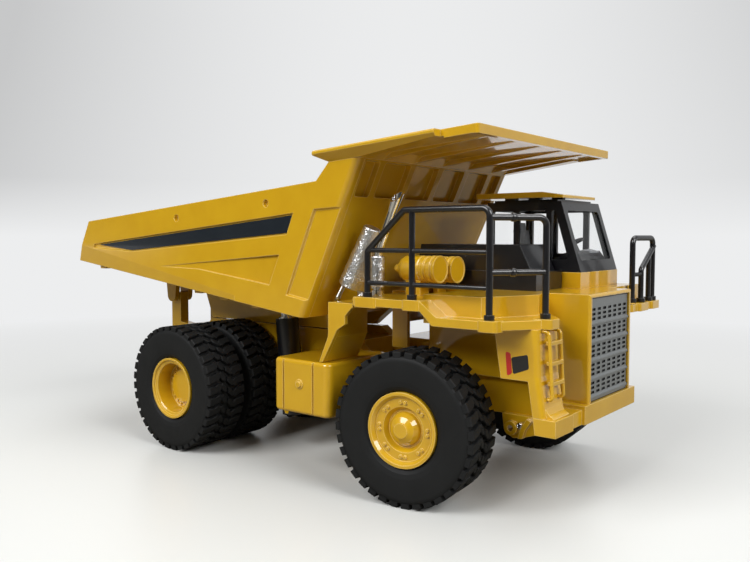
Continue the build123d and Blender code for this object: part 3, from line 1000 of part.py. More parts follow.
# Driver's seat with its backrest and headrest, the dashboard, and the steering wheel on its column.
with BuildPart() as seat:
    block((101.5, 109.5), (16.0, 24.0), (CAB_BASE_Z, 70.4))
    side_prism([(101.5, 70.0), (104.0, 70.0), (102.8, 78.5), (100.6, 78.5)], 16.5, 23.5)
    side_prism([(100.7, 78.4), (102.7, 78.4), (102.4, 81.0), (100.8, 81.0)], 18.2, 21.8)
save(seat, "seat")

with BuildPart() as dashboard:
    side_prism([(119.5, CAB_BASE_Z), (119.5, 70.2), (124.5, 71.6), (127.2, 68.2), (127.9, CAB_BASE_Z)],
               CAB_RIGHT_Y + 2.5, CAB_LEFT_Y - 2.5)
save(dashboard, "dashboard")

with BuildPart() as steering_wheel:
    wheel_plane = Plane(origin=(REAR_AXLE_X + 120.3, 21.5, 74.4), z_dir=(-0.45, 0, 0.9))
    turned([(2.55, 0), (2.75, 0.3), (3.05, 0.3), (3.25, 0), (3.05, -0.3), (2.75, -0.3)], wheel_plane)
    with Locations(wheel_plane):
        Cylinder(0.5, 3.5, align=(Align.CENTER, Align.CENTER, Align.MAX))
        for turn in (0, 120, 240):
            with Locations(Rotation(0, 0, turn)):
                Box(3.0, 0.5, 0.4, align=(Align.MIN, Align.CENTER, Align.CENTER))
save(steering_wheel, "steering_wheel")
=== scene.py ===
import json
from math import cos, pi, sin

import bmesh
import bpy
from mathutils import Matrix, Vector, noise

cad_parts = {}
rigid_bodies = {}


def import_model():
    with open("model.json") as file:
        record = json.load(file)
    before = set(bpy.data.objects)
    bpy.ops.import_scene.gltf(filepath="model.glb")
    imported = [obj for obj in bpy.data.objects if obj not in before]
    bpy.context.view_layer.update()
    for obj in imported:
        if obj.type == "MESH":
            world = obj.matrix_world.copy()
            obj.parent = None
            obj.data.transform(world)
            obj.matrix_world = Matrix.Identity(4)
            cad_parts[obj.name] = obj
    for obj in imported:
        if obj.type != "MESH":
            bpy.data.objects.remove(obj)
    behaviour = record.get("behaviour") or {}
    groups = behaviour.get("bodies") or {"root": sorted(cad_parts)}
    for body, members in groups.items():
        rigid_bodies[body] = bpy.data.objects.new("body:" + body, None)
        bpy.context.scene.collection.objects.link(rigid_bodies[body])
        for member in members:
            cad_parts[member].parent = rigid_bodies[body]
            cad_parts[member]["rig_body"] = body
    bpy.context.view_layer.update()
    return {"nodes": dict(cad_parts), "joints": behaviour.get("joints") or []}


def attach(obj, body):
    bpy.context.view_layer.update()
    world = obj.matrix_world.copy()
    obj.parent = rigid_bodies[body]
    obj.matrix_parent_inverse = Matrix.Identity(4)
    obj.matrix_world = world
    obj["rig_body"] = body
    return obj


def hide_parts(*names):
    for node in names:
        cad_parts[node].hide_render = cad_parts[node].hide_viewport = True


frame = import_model()

# Camera: it looks at the model's right front corner from the height of its cab, 28 cm away.
# That close, a 37 mm lens makes the far wheels clearly smaller than the near ones.
scene = bpy.context.scene
MM = 0.001
CAMERA_AT = Vector((189.86, -217.69, 76.62)) * MM
CAMERA_LOOKS_AT = Vector((16.93, 0.0, 60.30)) * MM
lens = bpy.data.cameras.new("camera")
lens.sensor_width = 36.0
lens.lens = 36.92
lens.clip_start = 0.01
camera = bpy.data.objects.new("camera", lens)
camera.location = CAMERA_AT
camera.rotation_euler = (CAMERA_LOOKS_AT - CAMERA_AT).to_track_quat("-Z", "Y").to_euler()
scene.collection.objects.link(camera)
scene.camera = camera
scene.view_settings.view_transform = "Standard"


# Table: a pale, slightly glossy sheet that runs far back and fades into the pale room. Near the
# model it keeps the soft shadow, and it throws only a little warm light back up.
class Field:
    """A value, vector or colour that varies over a surface: one output socket of a tree's nodes."""

    def __init__(self, maker, socket):
        self.maker = maker
        self.socket = socket

    def math(self, operation, first, second):
        return self.maker.node("ShaderNodeMath", {"operation": operation}, {0: first, 1: second})

    def __add__(self, other):
        return self.math("ADD", self, other)

    def __radd__(self, other):
        return self.math("ADD", other, self)

    def __sub__(self, other):
        return self.math("SUBTRACT", self, other)

    def __rsub__(self, other):
        return self.math("SUBTRACT", other, self)

    def __mul__(self, other):
        return self.math("MULTIPLY", self, other)

    def __rmul__(self, other):
        return self.math("MULTIPLY", other, self)

    def __truediv__(self, other):
        return self.math("DIVIDE", self, other)

    def __rtruediv__(self, other):
        return self.math("DIVIDE", other, self)

    def __gt__(self, other):
        return self.math("GREATER_THAN", self, other)

    def __lt__(self, other):
        return self.math("LESS_THAN", self, other)

    def at_least(self, other):
        return self.math("MAXIMUM", self, other)

    def clamped(self):
        return self.maker.node("ShaderNodeClamp", {}, {"Value": self})


class Maker:
    """Makes the nodes of one tree, of a material or of the room."""

    def __init__(self, tree):
        self.tree = tree

    def node(self, kind, settings, inputs, output=0):
        """A node of any kind: its settings are made first, then the values or links of its sockets."""
        made = self.tree.nodes.new(kind)
        for name, value in settings.items():
            setattr(made, name, value)
        for key, value in inputs.items():
            if isinstance(value, Field):
                self.tree.links.new(value.socket, made.inputs[key])
            else:
                made.inputs[key].default_value = value
        return Field(self, made.outputs[output])

    def mix(self, factor, first, second):
        return self.node("ShaderNodeMix", {"data_type": "RGBA"}, {0: factor, 6: first, 7: second}, output=2)

    def along(self, vector, direction):
        """Reach of a vector along a fixed direction."""
        return self.node("ShaderNodeVectorMath", {"operation": "DOT_PRODUCT"}, {0: vector, 1: direction},
                         output="Value")

    def ray(self, kind):
        """1 for the rays of a kind, such as the camera's, and 0 for all others."""
        return self.node("ShaderNodeLightPath", {}, {}, output=f"Is {kind} Ray")


class Finish(Maker):
    """One paint, plastic, rubber or plating: a material with its nodes. Sizes are in millimetres."""

    def __init__(self, name, **constants):
        self.material = bpy.data.materials.new(name)
        self.material.use_nodes = True
        super().__init__(self.material.node_tree)
        self.shader = self.tree.nodes["Principled BSDF"]
        for socket, value in constants.items():
            self.shader.inputs[socket.replace("_", " ")].default_value = value

    def set(self, socket, field):
        self.tree.links.new(field.socket, self.shader.inputs[socket])

    def place(self):
        """Position on the piece, in metres, which stays with it when it moves."""
        return self.node("ShaderNodeTexCoord", {}, {}, output="Object")

    def noise(self, size, detail=2.0):
        """Noise from 0 to 1 with features of a size."""
        return self.node("ShaderNodeTexNoise", {}, {"Vector": self.place(), "Scale": 1.0 / (size * MM),
                                                    "Detail": detail})

    def rounded(self, radius, samples=6):
        """The way that the surface faces, as if its edges were rounded to a radius."""
        return self.node("ShaderNodeBevel", {"samples": samples}, {"Radius": radius * MM})

    def mottle(self, dark, pale, size, detail=2.0):
        """Base colour that wanders between two colours, in patches of a size."""
        self.set("Base Color", self.mix(self.noise(size, detail), dark, pale))

    def roughen(self, least, spread, size, detail=2.0):
        """Roughness that wanders up from its least value by a spread, in patches of a size."""
        self.set("Roughness", self.noise(size, detail) * spread + least)

    def bump(self, height, depth, normal=None):
        """Relief of a height field, with its full depth."""
        inputs = {"Height": height, "Distance": depth * MM}
        if normal:
            inputs["Normal"] = normal
        self.set("Normal", self.node("ShaderNodeBump", {}, inputs, output="Normal"))


TABLE_RADIUS = 6.0
TABLE_COLOUR = (0.730, 0.738, 0.716, 1.0)
TABLE_BOUNCE_COLOUR = (0.24, 0.22, 0.17, 1.0)
ROOM_COLOUR = (0.985, 0.993, 1.0, 1.0)
HORIZON = 0.86
WALL_WAY = (-0.622, 0.783, 0.0)
FADE_START, FADE_END = 0.11, 0.50
table_mesh = bpy.data.meshes.new("table")
table = bpy.data.objects.new("table", table_mesh)
scene.collection.objects.link(table)
disc = bmesh.new()
bmesh.ops.create_circle(disc, cap_ends=True, segments=96, radius=TABLE_RADIUS)
disc.to_mesh(table_mesh)
disc.free()
sheet = Finish("pale_sheet", Roughness=0.34)
distance = sheet.node("ShaderNodeVectorMath", {"operation": "LENGTH"}, {0: sheet.place()}, output="Value")
far = ((distance - FADE_START) / (FADE_END - FADE_START)).clamped()
beyond = (sheet.along(sheet.place(), WALL_WAY) / FADE_END).clamped()
seen = sheet.ray("Camera")
sheet.set("Base Color", sheet.mix(seen, TABLE_BOUNCE_COLOUR, TABLE_COLOUR))
faded = far * (seen + sheet.ray("Glossy") * beyond).clamped()
plain = Field(sheet, sheet.shader.outputs[0])
glow = sheet.node("ShaderNodeEmission", {}, {"Color": ROOM_COLOUR, "Strength": HORIZON})
surface = sheet.node("ShaderNodeMixShader", {}, {0: faded, 1: plain, 2: glow})
sheet.tree.links.new(surface.socket, sheet.tree.nodes["Material Output"].inputs["Surface"])
table_mesh.materials.append(sheet.material)

# Room: its wall behind the table is bright, a little darker in the upper corners. The half of the
# room on the near side is dim, so faces turned that way reflect little.
FILL_STRENGTH = 0.10
ACROSS_WAY = (0.783, 0.622, 0.0)
# Upward reach at which a change of the wall's level is complete.
WALL_CLIMB = 0.26
LOW_CLIMB = 0.07
WALL_TOP_CHANGE = -0.02
CORNER_DARKENING = 0.5
SIDE_DARKENING = 0.8
RIGHT_BRIGHTER = 0.14
DIMMEST_WALL = 0.58
NEAR_SIDE_LEVEL = 0.05
# How much a direction's reach to the wall and to the right brightens it, and the level between.
BRIGHT_TO_WALL, BRIGHT_TO_RIGHT, BRIGHT_MIDWAY = 0.9, 0.5, 0.45
world = bpy.data.worlds.new("room")
scene.world = world
world.use_nodes = True
room = Maker(world.node_tree)
way = room.node("ShaderNodeTexCoord", {}, {}, output="Generated")
across = room.along(way, ACROSS_WAY)
upward = room.along(way, (0, 0, 1))
climb = (upward / WALL_CLIMB).clamped()
low_climb = (upward / LOW_CLIMB).clamped()
wall = (HORIZON + climb * (WALL_TOP_CHANGE - across * across * CORNER_DARKENING)
        + low_climb * (across * RIGHT_BRIGHTER - across * across * SIDE_DARKENING))
wall = wall.at_least(DIMMEST_WALL)
facing = (room.along(way, WALL_WAY) * BRIGHT_TO_WALL + across * BRIGHT_TO_RIGHT + BRIGHT_MIDWAY).clamped()
reflected = wall * (facing * (1 - NEAR_SIDE_LEVEL) + NEAR_SIDE_LEVEL)
shown = room.ray("Camera").at_least(room.ray("Transmission"))
mirrored = room.ray("Glossy") * (1 - shown)
level = FILL_STRENGTH + shown * (wall - FILL_STRENGTH) + mirrored * (reflected - FILL_STRENGTH)
background = room.tree.nodes["Background"]
background.inputs["Color"].default_value = ROOM_COLOUR
room.tree.links.new(level.socket, background.inputs["Strength"])

# Softboxes: three soft lamps that face the model's middle. Each row has a name, a place in metres,
# a width and height in metres, and a power in watts.
SOFTBOXES = (("key_softbox", (-0.16, -0.82, 0.68), 0.70, 0.50, 10.2),
             ("top_softbox", (0.10, 0.20, 1.05), 0.90, 0.70, 4.4),
             ("front_softbox", (0.86, -0.16, 0.60), 0.60, 0.45, 7.4))
MODEL_MIDDLE = Vector((0, 0, 0.05))
for name, place, width, height, power in SOFTBOXES:
    lamp = bpy.data.lights.new(name, "AREA")
    lamp.shape = "RECTANGLE"
    lamp.size = width
    lamp.size_y = height
    lamp.energy = power
    softbox = bpy.data.objects.new(name, lamp)
    softbox.location = place
    softbox.rotation_euler = (MODEL_MIDDLE - Vector(place)).to_track_quat("-Z", "Y").to_euler()
    scene.collection.objects.link(softbox)

# Frame, axles and knuckles: zinc castings, sprayed golden yellow like the body panels.
# The enamel is thick and glossy, with a faint orange peel. Its rounded edges are painted paler, as a painted
# highlight.
ENAMEL_COLOUR = (0.640, 0.375, 0.009, 1.0)
ENAMEL_DEEP = (0.575, 0.320, 0.006, 1.0)
ENAMEL_EDGE_HIGHLIGHT = (0.880, 0.640, 0.200, 1.0)
ENAMEL_ROUNDING = 0.34
EDGE_GAIN, EDGE_MOST = 14.0, 0.75
CLOUD_GAIN, CLOUD_DROP = 1.6, 0.3
WAVE_SHARE = 0.6
enamel = Finish("golden_enamel", Coat_Weight=0.8, Coat_Roughness=0.05, Coat_IOR=1.7, Specular_IOR_Level=0.25)
cloud = (enamel.noise(9.0, detail=3.0) * CLOUD_GAIN - CLOUD_DROP).clamped()
paint = enamel.mix(cloud, ENAMEL_DEEP, ENAMEL_COLOUR)
soft_way = enamel.rounded(ENAMEL_ROUNDING)
flat_way = enamel.node("ShaderNodeNewGeometry", {}, {}, output="Normal")
# Painted highlight: where the rounded edges would catch the light, the base colour turns pale cream.
edge = ((1 - enamel.along(soft_way, flat_way)) * EDGE_GAIN).clamped() * EDGE_MOST
enamel.set("Base Color", enamel.mix(edge, paint, ENAMEL_EDGE_HIGHLIGHT))
enamel.roughen(0.26, 0.10, 1.4, detail=4.0)
enamel.bump(enamel.noise(0.55) + enamel.noise(3.0) * WAVE_SHARE, 0.008, soft_way)


def coat(finish, *nodes):
    """Gives CAD pieces their finish."""
    for node in nodes:
        mesh = frame["nodes"][node].data
        mesh.materials.clear()
        mesh.materials.append(finish.material)


coat(enamel, "frame_rail_right", "frame_rail_left", "cross_members", "rear_axle", "front_axle",
     "knuckle_right", "knuckle_left")

# Rims: zinc castings in the same enamel. The front ones have a domed hub and pairs of bolts on the
# flange, the rear ones are deep dishes with a ring of bolts.
coat(enamel, "front_rim_right", "front_rim_left", "rear_rim_right", "rear_rim_left")

# Tyres: one-piece mouldings of soft grey-black rubber, pushed over the rims. The sidewall is smooth,
# and the tread has staggered chunky blocks whose shoulders leave square notches at the edge.
RUBBER_DARK = (0.0075, 0.0080, 0.0085, 1)
RUBBER_PALE = (0.0120, 0.0126, 0.0130, 1)
TYRE_RADIUS = 22.2
# Carcass outline: radius, distance from the middle plane.
CARCASS = ((10.9, -6.2), (11.3, -6.9), (12.4, -7.5), (13.8, -7.75), (19.4, -7.78), (20.6, -7.7),
           (20.85, -7.4), (20.85, 0.0))
FLATTEST_STEP = 0.2
LUGS = 36
STEPS_PER_LUG = 4
STAGGER = 0.5
# Block outlines: share of a lug's pitch, distance from the middle plane.
SHOULDER_BLOCK = ((0.02, 7.78), (0.70, 7.78), (0.80, 5.2), (1.02, 3.3), (0.90, 2.5), (0.46, 2.5), (0.22, 3.6),
                  (0.12, 5.2))
CENTRE_BLOCK = ((0.06, 0.25), (0.52, 0.25), (0.80, 1.4), (0.98, 2.0), (0.74, 3.0), (0.30, 2.2), (0.10, 1.5))
GROOVE_DEPTH = 1.35
BLOCK_ROOT = 0.2
CHAMFER = 0.22
TAPER = 0.06
# Middle planes of the tyres on a wheel's axis, counted outwards from its joint.
FRONT_MIDDLES = (3.0,)
REAR_MIDDLES = (12.4, -7.6)
rubber = Finish("tyre_rubber", Specular_IOR_Level=0.22)
rubber.mottle(RUBBER_DARK, RUBBER_PALE, 6.0, detail=4.0)
rubber.roughen(0.52, 0.16, 2.0, detail=3.0)
rubber.bump(rubber.noise(0.22, detail=3.0), 0.016)


def piece(name, mesh, finish, on, instead_of=()):
    """A finished piece from a mesh, riding with the body that carries a CAD node."""
    bmesh.ops.recalc_face_normals(mesh, faces=mesh.faces)
    data = bpy.data.meshes.new(name)
    mesh.to_mesh(data)
    mesh.free()
    data.materials.append(finish.material)
    made = bpy.data.objects.new(name, data)
    scene.collection.objects.link(made)
    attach(made, frame["nodes"][on]["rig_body"])
    if instead_of:
        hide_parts(*instead_of)


def skin(mesh, rings, smooth=0):
    """Joins rings of as many points each into a closed skin, its first faces round a ring smooth."""
    count = len(rings[0])
    for lower, upper in zip(rings, rings[1:]):
        for k in range(count):
            after = (k + 1) % count
            mesh.faces.new((lower[k], lower[after], upper[after], upper[k])).smooth = k < smooth
    mesh.faces.new(list(reversed(rings[0])))
    mesh.faces.new(rings[-1])


def carcass(mesh, middle):
    """A tyre's carcass, turned about local Z, with its middle plane at a height."""
    outline = list(CARCASS) + [(radius, -z) for radius, z in reversed(CARCASS[:-1])]
    steps = LUGS * STEPS_PER_LUG
    rings = []
    for step in range(steps):
        angle = 2 * pi * step / steps
        rings.append([mesh.verts.new((r * cos(angle) * MM, r * sin(angle) * MM, (middle + z) * MM))
                      for r, z in outline])
    for step in range(steps):
        here, following = rings[step], rings[(step + 1) % steps]
        for k in range(len(outline)):
            after = (k + 1) % len(outline)
            face = mesh.faces.new((here[k], following[k], following[after], here[after]))
            face.smooth = abs(outline[k][1] - outline[after][1]) < FLATTEST_STEP


def tread_block(mesh, outline, lug, shift, flip, middle):
    """One tread block standing on the carcass, narrower at its chamfered top."""
    pitch = 2 * pi / LUGS
    mid_share = sum(p[0] for p in outline) / len(outline)
    mid_z = sum(p[1] for p in outline) / len(outline)
    rings = []
    for radius, inset in ((TYRE_RADIUS - GROOVE_DEPTH - BLOCK_ROOT, 0.0), (TYRE_RADIUS - CHAMFER, TAPER),
                          (TYRE_RADIUS, TAPER + CHAMFER)):
        ring = []
        for share, z in outline:
            sideways = (share - mid_share) * pitch * TYRE_RADIUS
            outwards = z - mid_z
            shrink = 1 - inset / (sideways ** 2 + outwards ** 2) ** 0.5
            angle = (lug + shift + mid_share) * pitch + sideways * shrink / TYRE_RADIUS
            height = middle + flip * (mid_z + outwards * shrink)
            ring.append(mesh.verts.new((radius * cos(flip * angle) * MM, radius * sin(flip * angle) * MM,
                                        height * MM)))
        rings.append(ring)
    skin(mesh, rings)


def tyres(name, node, joint, middles):
    """The tyres of one wheel body, on its joint's axis, with local Z outwards."""
    spin = next(j for j in frame["joints"] if j["name"] == joint)
    outwards = Vector(spin["axis"]) * (1 if spin["pos_m"][1] > 0 else -1)
    mesh = bmesh.new()
    for middle in middles:
        carcass(mesh, middle)
        for lug in range(LUGS):
            for flip, shift in ((1, 0.0), (-1, STAGGER)):
                tread_block(mesh, SHOULDER_BLOCK, lug, shift, flip, middle)
                tread_block(mesh, CENTRE_BLOCK, lug, shift, flip, middle)
    stand = outwards.to_track_quat("Z", "Y").to_matrix().to_4x4()
    mesh.transform(Matrix.Translation(Vector(spin["pos_m"])) @ stand)
    piece(name, mesh, rubber, node, instead_of=(node,))


for side in ("right", "left"):
    tyres(f"moulded_front_tyre_{side}", f"front_tyre_{side}", f"front_wheel_spin_{side}", FRONT_MIDDLES)
    tyres(f"moulded_rear_tyres_{side}", f"rear_tyres_{side}", f"rear_wheels_spin_{side}", REAR_MIDDLES)

# Dump body: sprayed zinc castings with soft edges. The stripe let into each side is a smooth glossy
# strip of dark plastic.
STRIPE_DARK = (0.010, 0.013, 0.018, 1)
STRIPE_PALE = (0.020, 0.026, 0.032, 1)
coat(enamel, "bed_floor", "bed_side_right", "bed_side_left", "bed_front_wall", "bed_canopy", "bolster_right",
     "bolster_left", "bolster_bars")
inlay = Finish("stripe_inlay", Roughness=0.16, Coat_Weight=0.5)
inlay.mottle(STRIPE_DARK, STRIPE_PALE, 12.0)
inlay.bump(inlay.noise(2.5), 0.01)
coat(inlay, "bed_stripe_right", "bed_stripe_left")

# Hoist: a cylinder in three stages on each side, between the frame and the dump body. Its barrel is
# glossy black plastic, and the middle stage and the rod that slide out of it are bright.
BLACK_DARK = (0.003, 0.003, 0.0045, 1)
BLACK_PALE = (0.006, 0.006, 0.008, 1)
BLACK_ROUNDING = 0.22
CHROME_DARK = (0.74, 0.75, 0.77, 1)
CHROME_PALE = (0.85, 0.85, 0.85, 1)
black = Finish("glossy_black", Coat_Weight=0.4, Coat_Roughness=0.08)
black.mottle(BLACK_DARK, BLACK_PALE, 4.0)
black.roughen(0.24, 0.12, 1.5, detail=3.0)
black.bump(black.noise(0.3), 0.004, black.rounded(BLACK_ROUNDING))
coat(black, "hoist_barrel_right", "hoist_barrel_left")
chrome = Finish("chrome", Metallic=1.0)
chrome.mottle(CHROME_DARK, CHROME_PALE, 3.0)
chrome.roughen(0.10, 0.08, 0.8)
chrome.bump(chrome.noise(1.6), 0.02)
coat(chrome, "hoist_stage_right", "hoist_stage_left", "hoist_rod_right", "hoist_rod_left")

# Hood with the grille: a grey plastic moulding let into the sprayed frame. The floors of its slots and a thin
# band round its edge are painted black, as painted shade in the slots and in the gap round it, and the head
# above the bands is plain.
GRILLE_DARK = (0.140, 0.150, 0.152, 1)
GRILLE_PALE = (0.190, 0.202, 0.206, 1)
SLOT_AND_GAP_SHADE = (0.006, 0.006, 0.007, 1)
GRILLE_ROUNDING = 0.10
GRILLE_FACE_X = 104.4
SLOT_DEPTH = 0.08
GRILLE_HALF = 14.0
GRILLE_TOP_Z = 59.3
GRILLE_LOW_Z = 29.95
GRILLE_GAP = 0.28
coat(enamel, "hood")
grille_grey = Finish("grille_grey", Roughness=0.38)
spot = grille_grey.place()
sideways = grille_grey.along(spot, (0, 1, 0))
upwards = grille_grey.along(spot, (0, 0, 1))
slot_floor = (GRILLE_FACE_X - SLOT_DEPTH) * MM > grille_grey.along(spot, (1, 0, 0))
side_gap = sideways * sideways > ((GRILLE_HALF - GRILLE_GAP) * MM) ** 2
top_gap = upwards > (GRILLE_TOP_Z - GRILLE_GAP) * MM
low_gap = (GRILLE_LOW_Z + GRILLE_GAP) * MM > upwards
shade = grille_grey.mix(grille_grey.noise(1.2, detail=3.0), GRILLE_DARK, GRILLE_PALE)
# Painted shade: the slot floors and the thin band round the grille's edge are painted black.
grille_grey.set("Base Color", grille_grey.mix((slot_floor + side_gap + top_gap + low_gap).clamped(), shade,
                                              SLOT_AND_GAP_SHADE))
grille_grey.bump(grille_grey.noise(0.4), 0.01, grille_grey.rounded(GRILLE_ROUNDING, samples=4))
coat(grille_grey, "grille")

# Bumper and tow eyes: sprayed castings. A bright steel screw with a round recess in its domed head
# holds each tow eye from the side.
SCREW_X, SCREW_Y, SCREW_Z = 83.5, 15.1, 20.5
# Screw head from its seat to the floor of its recess: radius, height.
SCREW_HEAD = ((0.95, -0.10), (1.02, 0.10), (0.98, 0.32), (0.80, 0.50), (0.50, 0.56), (0.42, 0.46),
              (0.40, 0.22))
TURNED_SIDES = 32
coat(enamel, "front_bumper", "tow_eyes")


def turned(mesh, outline, at, along):
    """A turned piece: its outline of radius and height goes round a line from a point."""
    stand = Vector(along).to_track_quat("Z", "Y").to_matrix()
    rings = []
    angles = [2 * pi * k / TURNED_SIDES for k in range(TURNED_SIDES)]
    for radius, height in outline:
        ring = [Vector((radius * cos(angle), radius * sin(angle), height)) for angle in angles]
        rings.append([mesh.verts.new((Vector(at) + stand @ corner) * MM) for corner in ring])
    skin(mesh, rings, smooth=TURNED_SIDES)


screws = bmesh.new()
for outer in (1, -1):
    turned(screws, SCREW_HEAD, (SCREW_X, outer * SCREW_Y, SCREW_Z), (0, outer, 0))
piece("tow_eye_screws", screws, chrome, "tow_eyes")

# Decks, mudguards, fender boxes and ladder: sprayed castings. The treads' pattern is cast in. A
# small blank label of black foil with a red strip is stuck on the right fender box.
LABEL_BLACK_DARK = (0.008, 0.008, 0.009, 1)
LABEL_BLACK_PALE = (0.014, 0.014, 0.015, 1)
LABEL_RED_DARK = (0.42, 0.012, 0.010, 1)
LABEL_RED_PALE = (0.50, 0.020, 0.014, 1)
LABEL_Y = -37.2
LABEL_THICKNESS = 0.07
LABEL_SUNK = 0.02
RIM_SHARE = 0.6
FACE_INSET = 0.02
CORNER_CUT = 0.35
# Corners in the plane of the fender box's outer face: X, Z.
LABEL_CORNERS = ((92.5, 44.5), (97.3, 45.7), (97.7, 41.9), (93.1, 40.1))
STRIP_CORNERS = ((90.8, 46.0), (92.3, 45.7), (92.8, 40.2), (91.3, 39.5))
coat(enamel, "deck_right", "deck_left", "mudguard_right", "mudguard_left", "fender_box_right",
     "fender_box_left", "ladder")


def foil_label(name, corners, finish):
    """A thin foil with cut corners and a soft edge on the right fender box."""
    mesh = bmesh.new()
    middle = sum((Vector(corner) for corner in corners), Vector((0, 0))) / len(corners)
    outline = []
    for k, corner in enumerate(corners):
        here = Vector(corner)
        for other in (corners[k - 1], corners[(k + 1) % len(corners)]):
            outline.append(here + (Vector(other) - here).normalized() * CORNER_CUT)
    rings = []
    for y, inset in ((LABEL_Y + LABEL_SUNK, 0.0), (LABEL_Y - LABEL_THICKNESS * RIM_SHARE, 0.0),
                     (LABEL_Y - LABEL_THICKNESS, FACE_INSET)):
        ring = [point + (middle - point) * inset for point in outline]
        rings.append([mesh.verts.new((x * MM, y * MM, z * MM)) for x, z in ring])
    skin(mesh, rings)
    piece(name, mesh, finish, "fender_box_right")


label_black = Finish("label_foil_black", Coat_Weight=0.3)
label_black.mottle(LABEL_BLACK_DARK, LABEL_BLACK_PALE, 1.5)
label_black.roughen(0.30, 0.10, 0.8)
label_red = Finish("label_foil_red", Coat_Weight=0.3)
label_red.mottle(LABEL_RED_DARK, LABEL_RED_PALE, 1.5)
label_red.roughen(0.32, 0.10, 0.8)
foil_label("blank_label", LABEL_CORNERS, label_black)
foil_label("label_strip", STRIP_CORNERS, label_red)

# Tanks: hollow sprayed shells, hung from the frame between the axles. The fuel tank is on the right,
# the hydraulic tank on the left.
coat(enamel, "fuel_tank", "hydraulic_tank")

# Air cleaners: two sprayed castings on the right deck, each a banded drum on short feet. Lipped
# caps face forward, and a domed knob closes each drum behind.
coat(enamel, "air_cleaners")

# Engine cover: a glossy black plastic moulding between the air cleaners and the cab. It sits on the
# hood and on the plate behind it.
coat(black, "engine_cover")

# Muffler: a leaning cone wrapped in crinkled bright foil, on a foot, with its inlet pipe. The exhaust
# pipe beside it is bright, and its thick foot wears the same foil.
FOIL_DARK = (0.44, 0.45, 0.48, 1)
FOIL_PALE = (0.80, 0.80, 0.79, 1)
CRINKLE = 0.13
CREASE_WIDTH, CREASE_SHARE = 0.45, 0.7
DENT_WIDTH, DENT_SHARE = 2.6, 0.8
# Rounded-over end of a foil: distance in from the end, share of the radius.
FOIL_END = ((0.0, 0.30), (0.0, 0.62), (0.12, 0.92))
FOIL_END_LENGTH = 0.45
MUFFLER_Y = -34.5
MUFFLER_LOW = (35.3, MUFFLER_Y, 60.9)
MUFFLER_TOP = (43.4, MUFFLER_Y, 79.2)
MUFFLER_RADII = (4.6, 2.7)
MUFFLER_AROUND, MUFFLER_UP = 88, 70
MUFFLER_CELL = 0.8
FOOT_AT = (38.6, MUFFLER_Y, 56.9)
FOOT = ((1.1, 0), (1.1, 0.5), (0.95, 0.7), (0.95, 4.6))
INLET_AT = (28.5, MUFFLER_Y, 56.0)
INLET_WAY = (4.1, 0, 6.4)
INLET = ((0.75, 0), (0.75, 1.0), (0.9, 1.1), (0.9, 1.9), (0.75, 2.0), (0.75, 7.6))
JACKET_LOW = (47.7, -37.5, 61.2)
JACKET_TOP = (47.7, -37.5, 70.6)
JACKET_RADII = (2.08, 2.08)
JACKET_AROUND, JACKET_UP = 40, 30
JACKET_CELL = 0.9
foil = Finish("crinkled_foil", Metallic=1.0)
foil.mottle(FOIL_DARK, FOIL_PALE, 1.2, detail=3.0)
foil.roughen(0.24, 0.16, 0.7, detail=3.0)
foil.bump(foil.noise(0.35, detail=3.0), 0.035)


def wrapped_foil(mesh, low, high, radii, around, up, cell):
    """A foil round a cone between two points, creased by a pattern of cells, with rounded ends."""
    low, high = Vector(low), Vector(high)
    axis = (high - low).normalized()
    stand = axis.to_track_quat("Z", "Y").to_matrix()
    length = (high - low).length
    stations = list(FOIL_END)
    stations += [(FOIL_END_LENGTH + (length - 2 * FOIL_END_LENGTH) * k / up, 1.0) for k in range(up + 1)]
    stations += [(length - inwards, share) for inwards, share in reversed(FOIL_END)]
    rings = []
    for height, share in stations:
        radius = radii[0] + (radii[1] - radii[0]) * height / length
        ring = []
        for k in range(around):
            angle = 2 * pi * k / around
            outward = stand @ Vector((cos(angle), sin(angle), 0))
            here = low + axis * height + outward * radius * share
            near = noise.voronoi(here / cell)[0]
            crease = min(near[1] - near[0], CREASE_WIDTH) / CREASE_WIDTH
            dent = noise.noise(here / (cell * DENT_WIDTH))
            here += outward * CRINKLE * (crease * CREASE_SHARE - CREASE_SHARE + dent * DENT_SHARE)
            ring.append(mesh.verts.new(here * MM))
        rings.append(ring)
    skin(mesh, rings)


muffler = bmesh.new()
wrapped_foil(muffler, MUFFLER_LOW, MUFFLER_TOP, MUFFLER_RADII, MUFFLER_AROUND, MUFFLER_UP, MUFFLER_CELL)
turned(muffler, FOOT, FOOT_AT, (0, 0, 1))
turned(muffler, INLET, INLET_AT, INLET_WAY)
piece("foil_muffler", muffler, foil, "muffler", instead_of=("muffler",))
coat(chrome, "exhaust_pipe")
jacket = bmesh.new()
wrapped_foil(jacket, JACKET_LOW, JACKET_TOP, JACKET_RADII, JACKET_AROUND, JACKET_UP, JACKET_CELL)
piece("exhaust_jacket", jacket, foil, "exhaust_pipe")

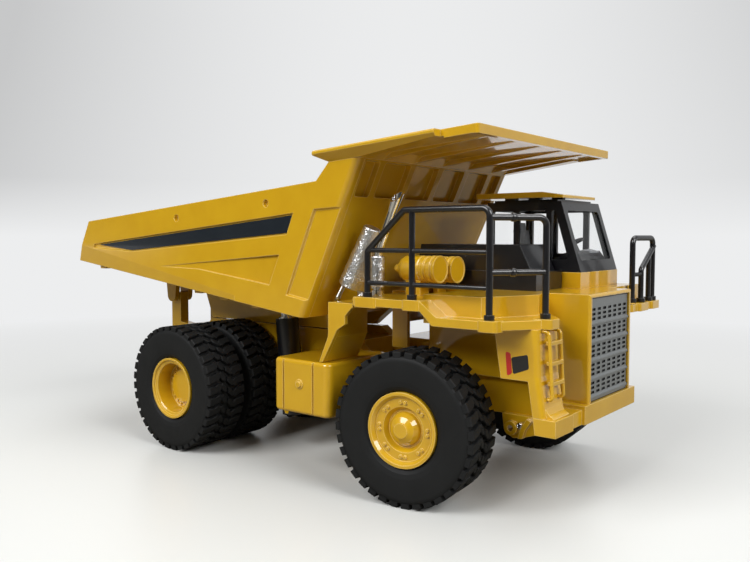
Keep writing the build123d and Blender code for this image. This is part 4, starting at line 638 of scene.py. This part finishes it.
# Railings: bent tubes in glossy black, each post in a collar. The front corner of the right railing
# has a turned nub on its upper and middle bars.
NUB = ((0.35, -0.75), (1.02, -0.65), (1.14, -0.4), (1.14, 0.4), (1.02, 0.65), (0.35, 0.75))
NUB_X, NUB_Y = 94.1, -39.7
NUB_HEIGHTS = (81.4, 67.2)
NUB_WAY = (9.5, 12.8, 0)
coat(black, "rail_right", "rail_left")
nubs = bmesh.new()
for height in NUB_HEIGHTS:
    turned(nubs, NUB, (NUB_X, NUB_Y, height), NUB_WAY)
piece("rail_nubs", nubs, black, "rail_right")

# Cab: a glossy black shell on a sprayed base, with clear panes let into its windows and a sprayed
# roof plate on top. Inside are a black seat, a dashboard with a grey gauge pod, and the steering wheel.
PANE_DARK = (0.97, 0.98, 0.98, 1)
PANE_PALE = (1.0, 1.0, 1.0, 1)
POD_DARK = (0.20, 0.205, 0.215, 1)
POD_PALE = (0.26, 0.265, 0.275, 1)
# Gauge pod's outline along the cab: X, Z.
POD = ((82.6, 70.6), (84.0, 71.9), (86.2, 72.2), (88.0, 71.6), (88.4, 70.4))
POD_RIGHT_Y, POD_LEFT_Y = 22.6, 31.6
POD_STEPS = 10
POD_END_SHARE = 0.25
POD_CROWN = 0.6
coat(enamel, "cab_base", "cab_roof")
coat(black, "cab_shell", "seat", "dashboard", "steering_wheel")
pane = Finish("clear_pane", Roughness=0.0, IOR=1.12, Transmission_Weight=1.0)
pane.mottle(PANE_DARK, PANE_PALE, 8.0)
coat(pane, "cab_glass")
pod_grey = Finish("pod_grey", Roughness=0.45)
pod_grey.mottle(POD_DARK, POD_PALE, 1.0)
pod_grey.bump(pod_grey.noise(0.3), 0.01)
pod = bmesh.new()
pod_low = POD[0][1]
rings = []
for step in range(POD_STEPS + 1):
    turn = pi * step / POD_STEPS
    y = (POD_RIGHT_Y + POD_LEFT_Y) / 2 - cos(turn) * (POD_LEFT_Y - POD_RIGHT_Y) / 2
    share = POD_END_SHARE + (1 - POD_END_SHARE) * sin(turn) ** POD_CROWN
    rings.append([pod.verts.new((x * MM, y * MM, (pod_low + (z - pod_low) * share) * MM)) for x, z in POD])
skin(pod, rings, smooth=len(POD) - 1)
piece("gauge_pod", pod, pod_grey, "dashboard")
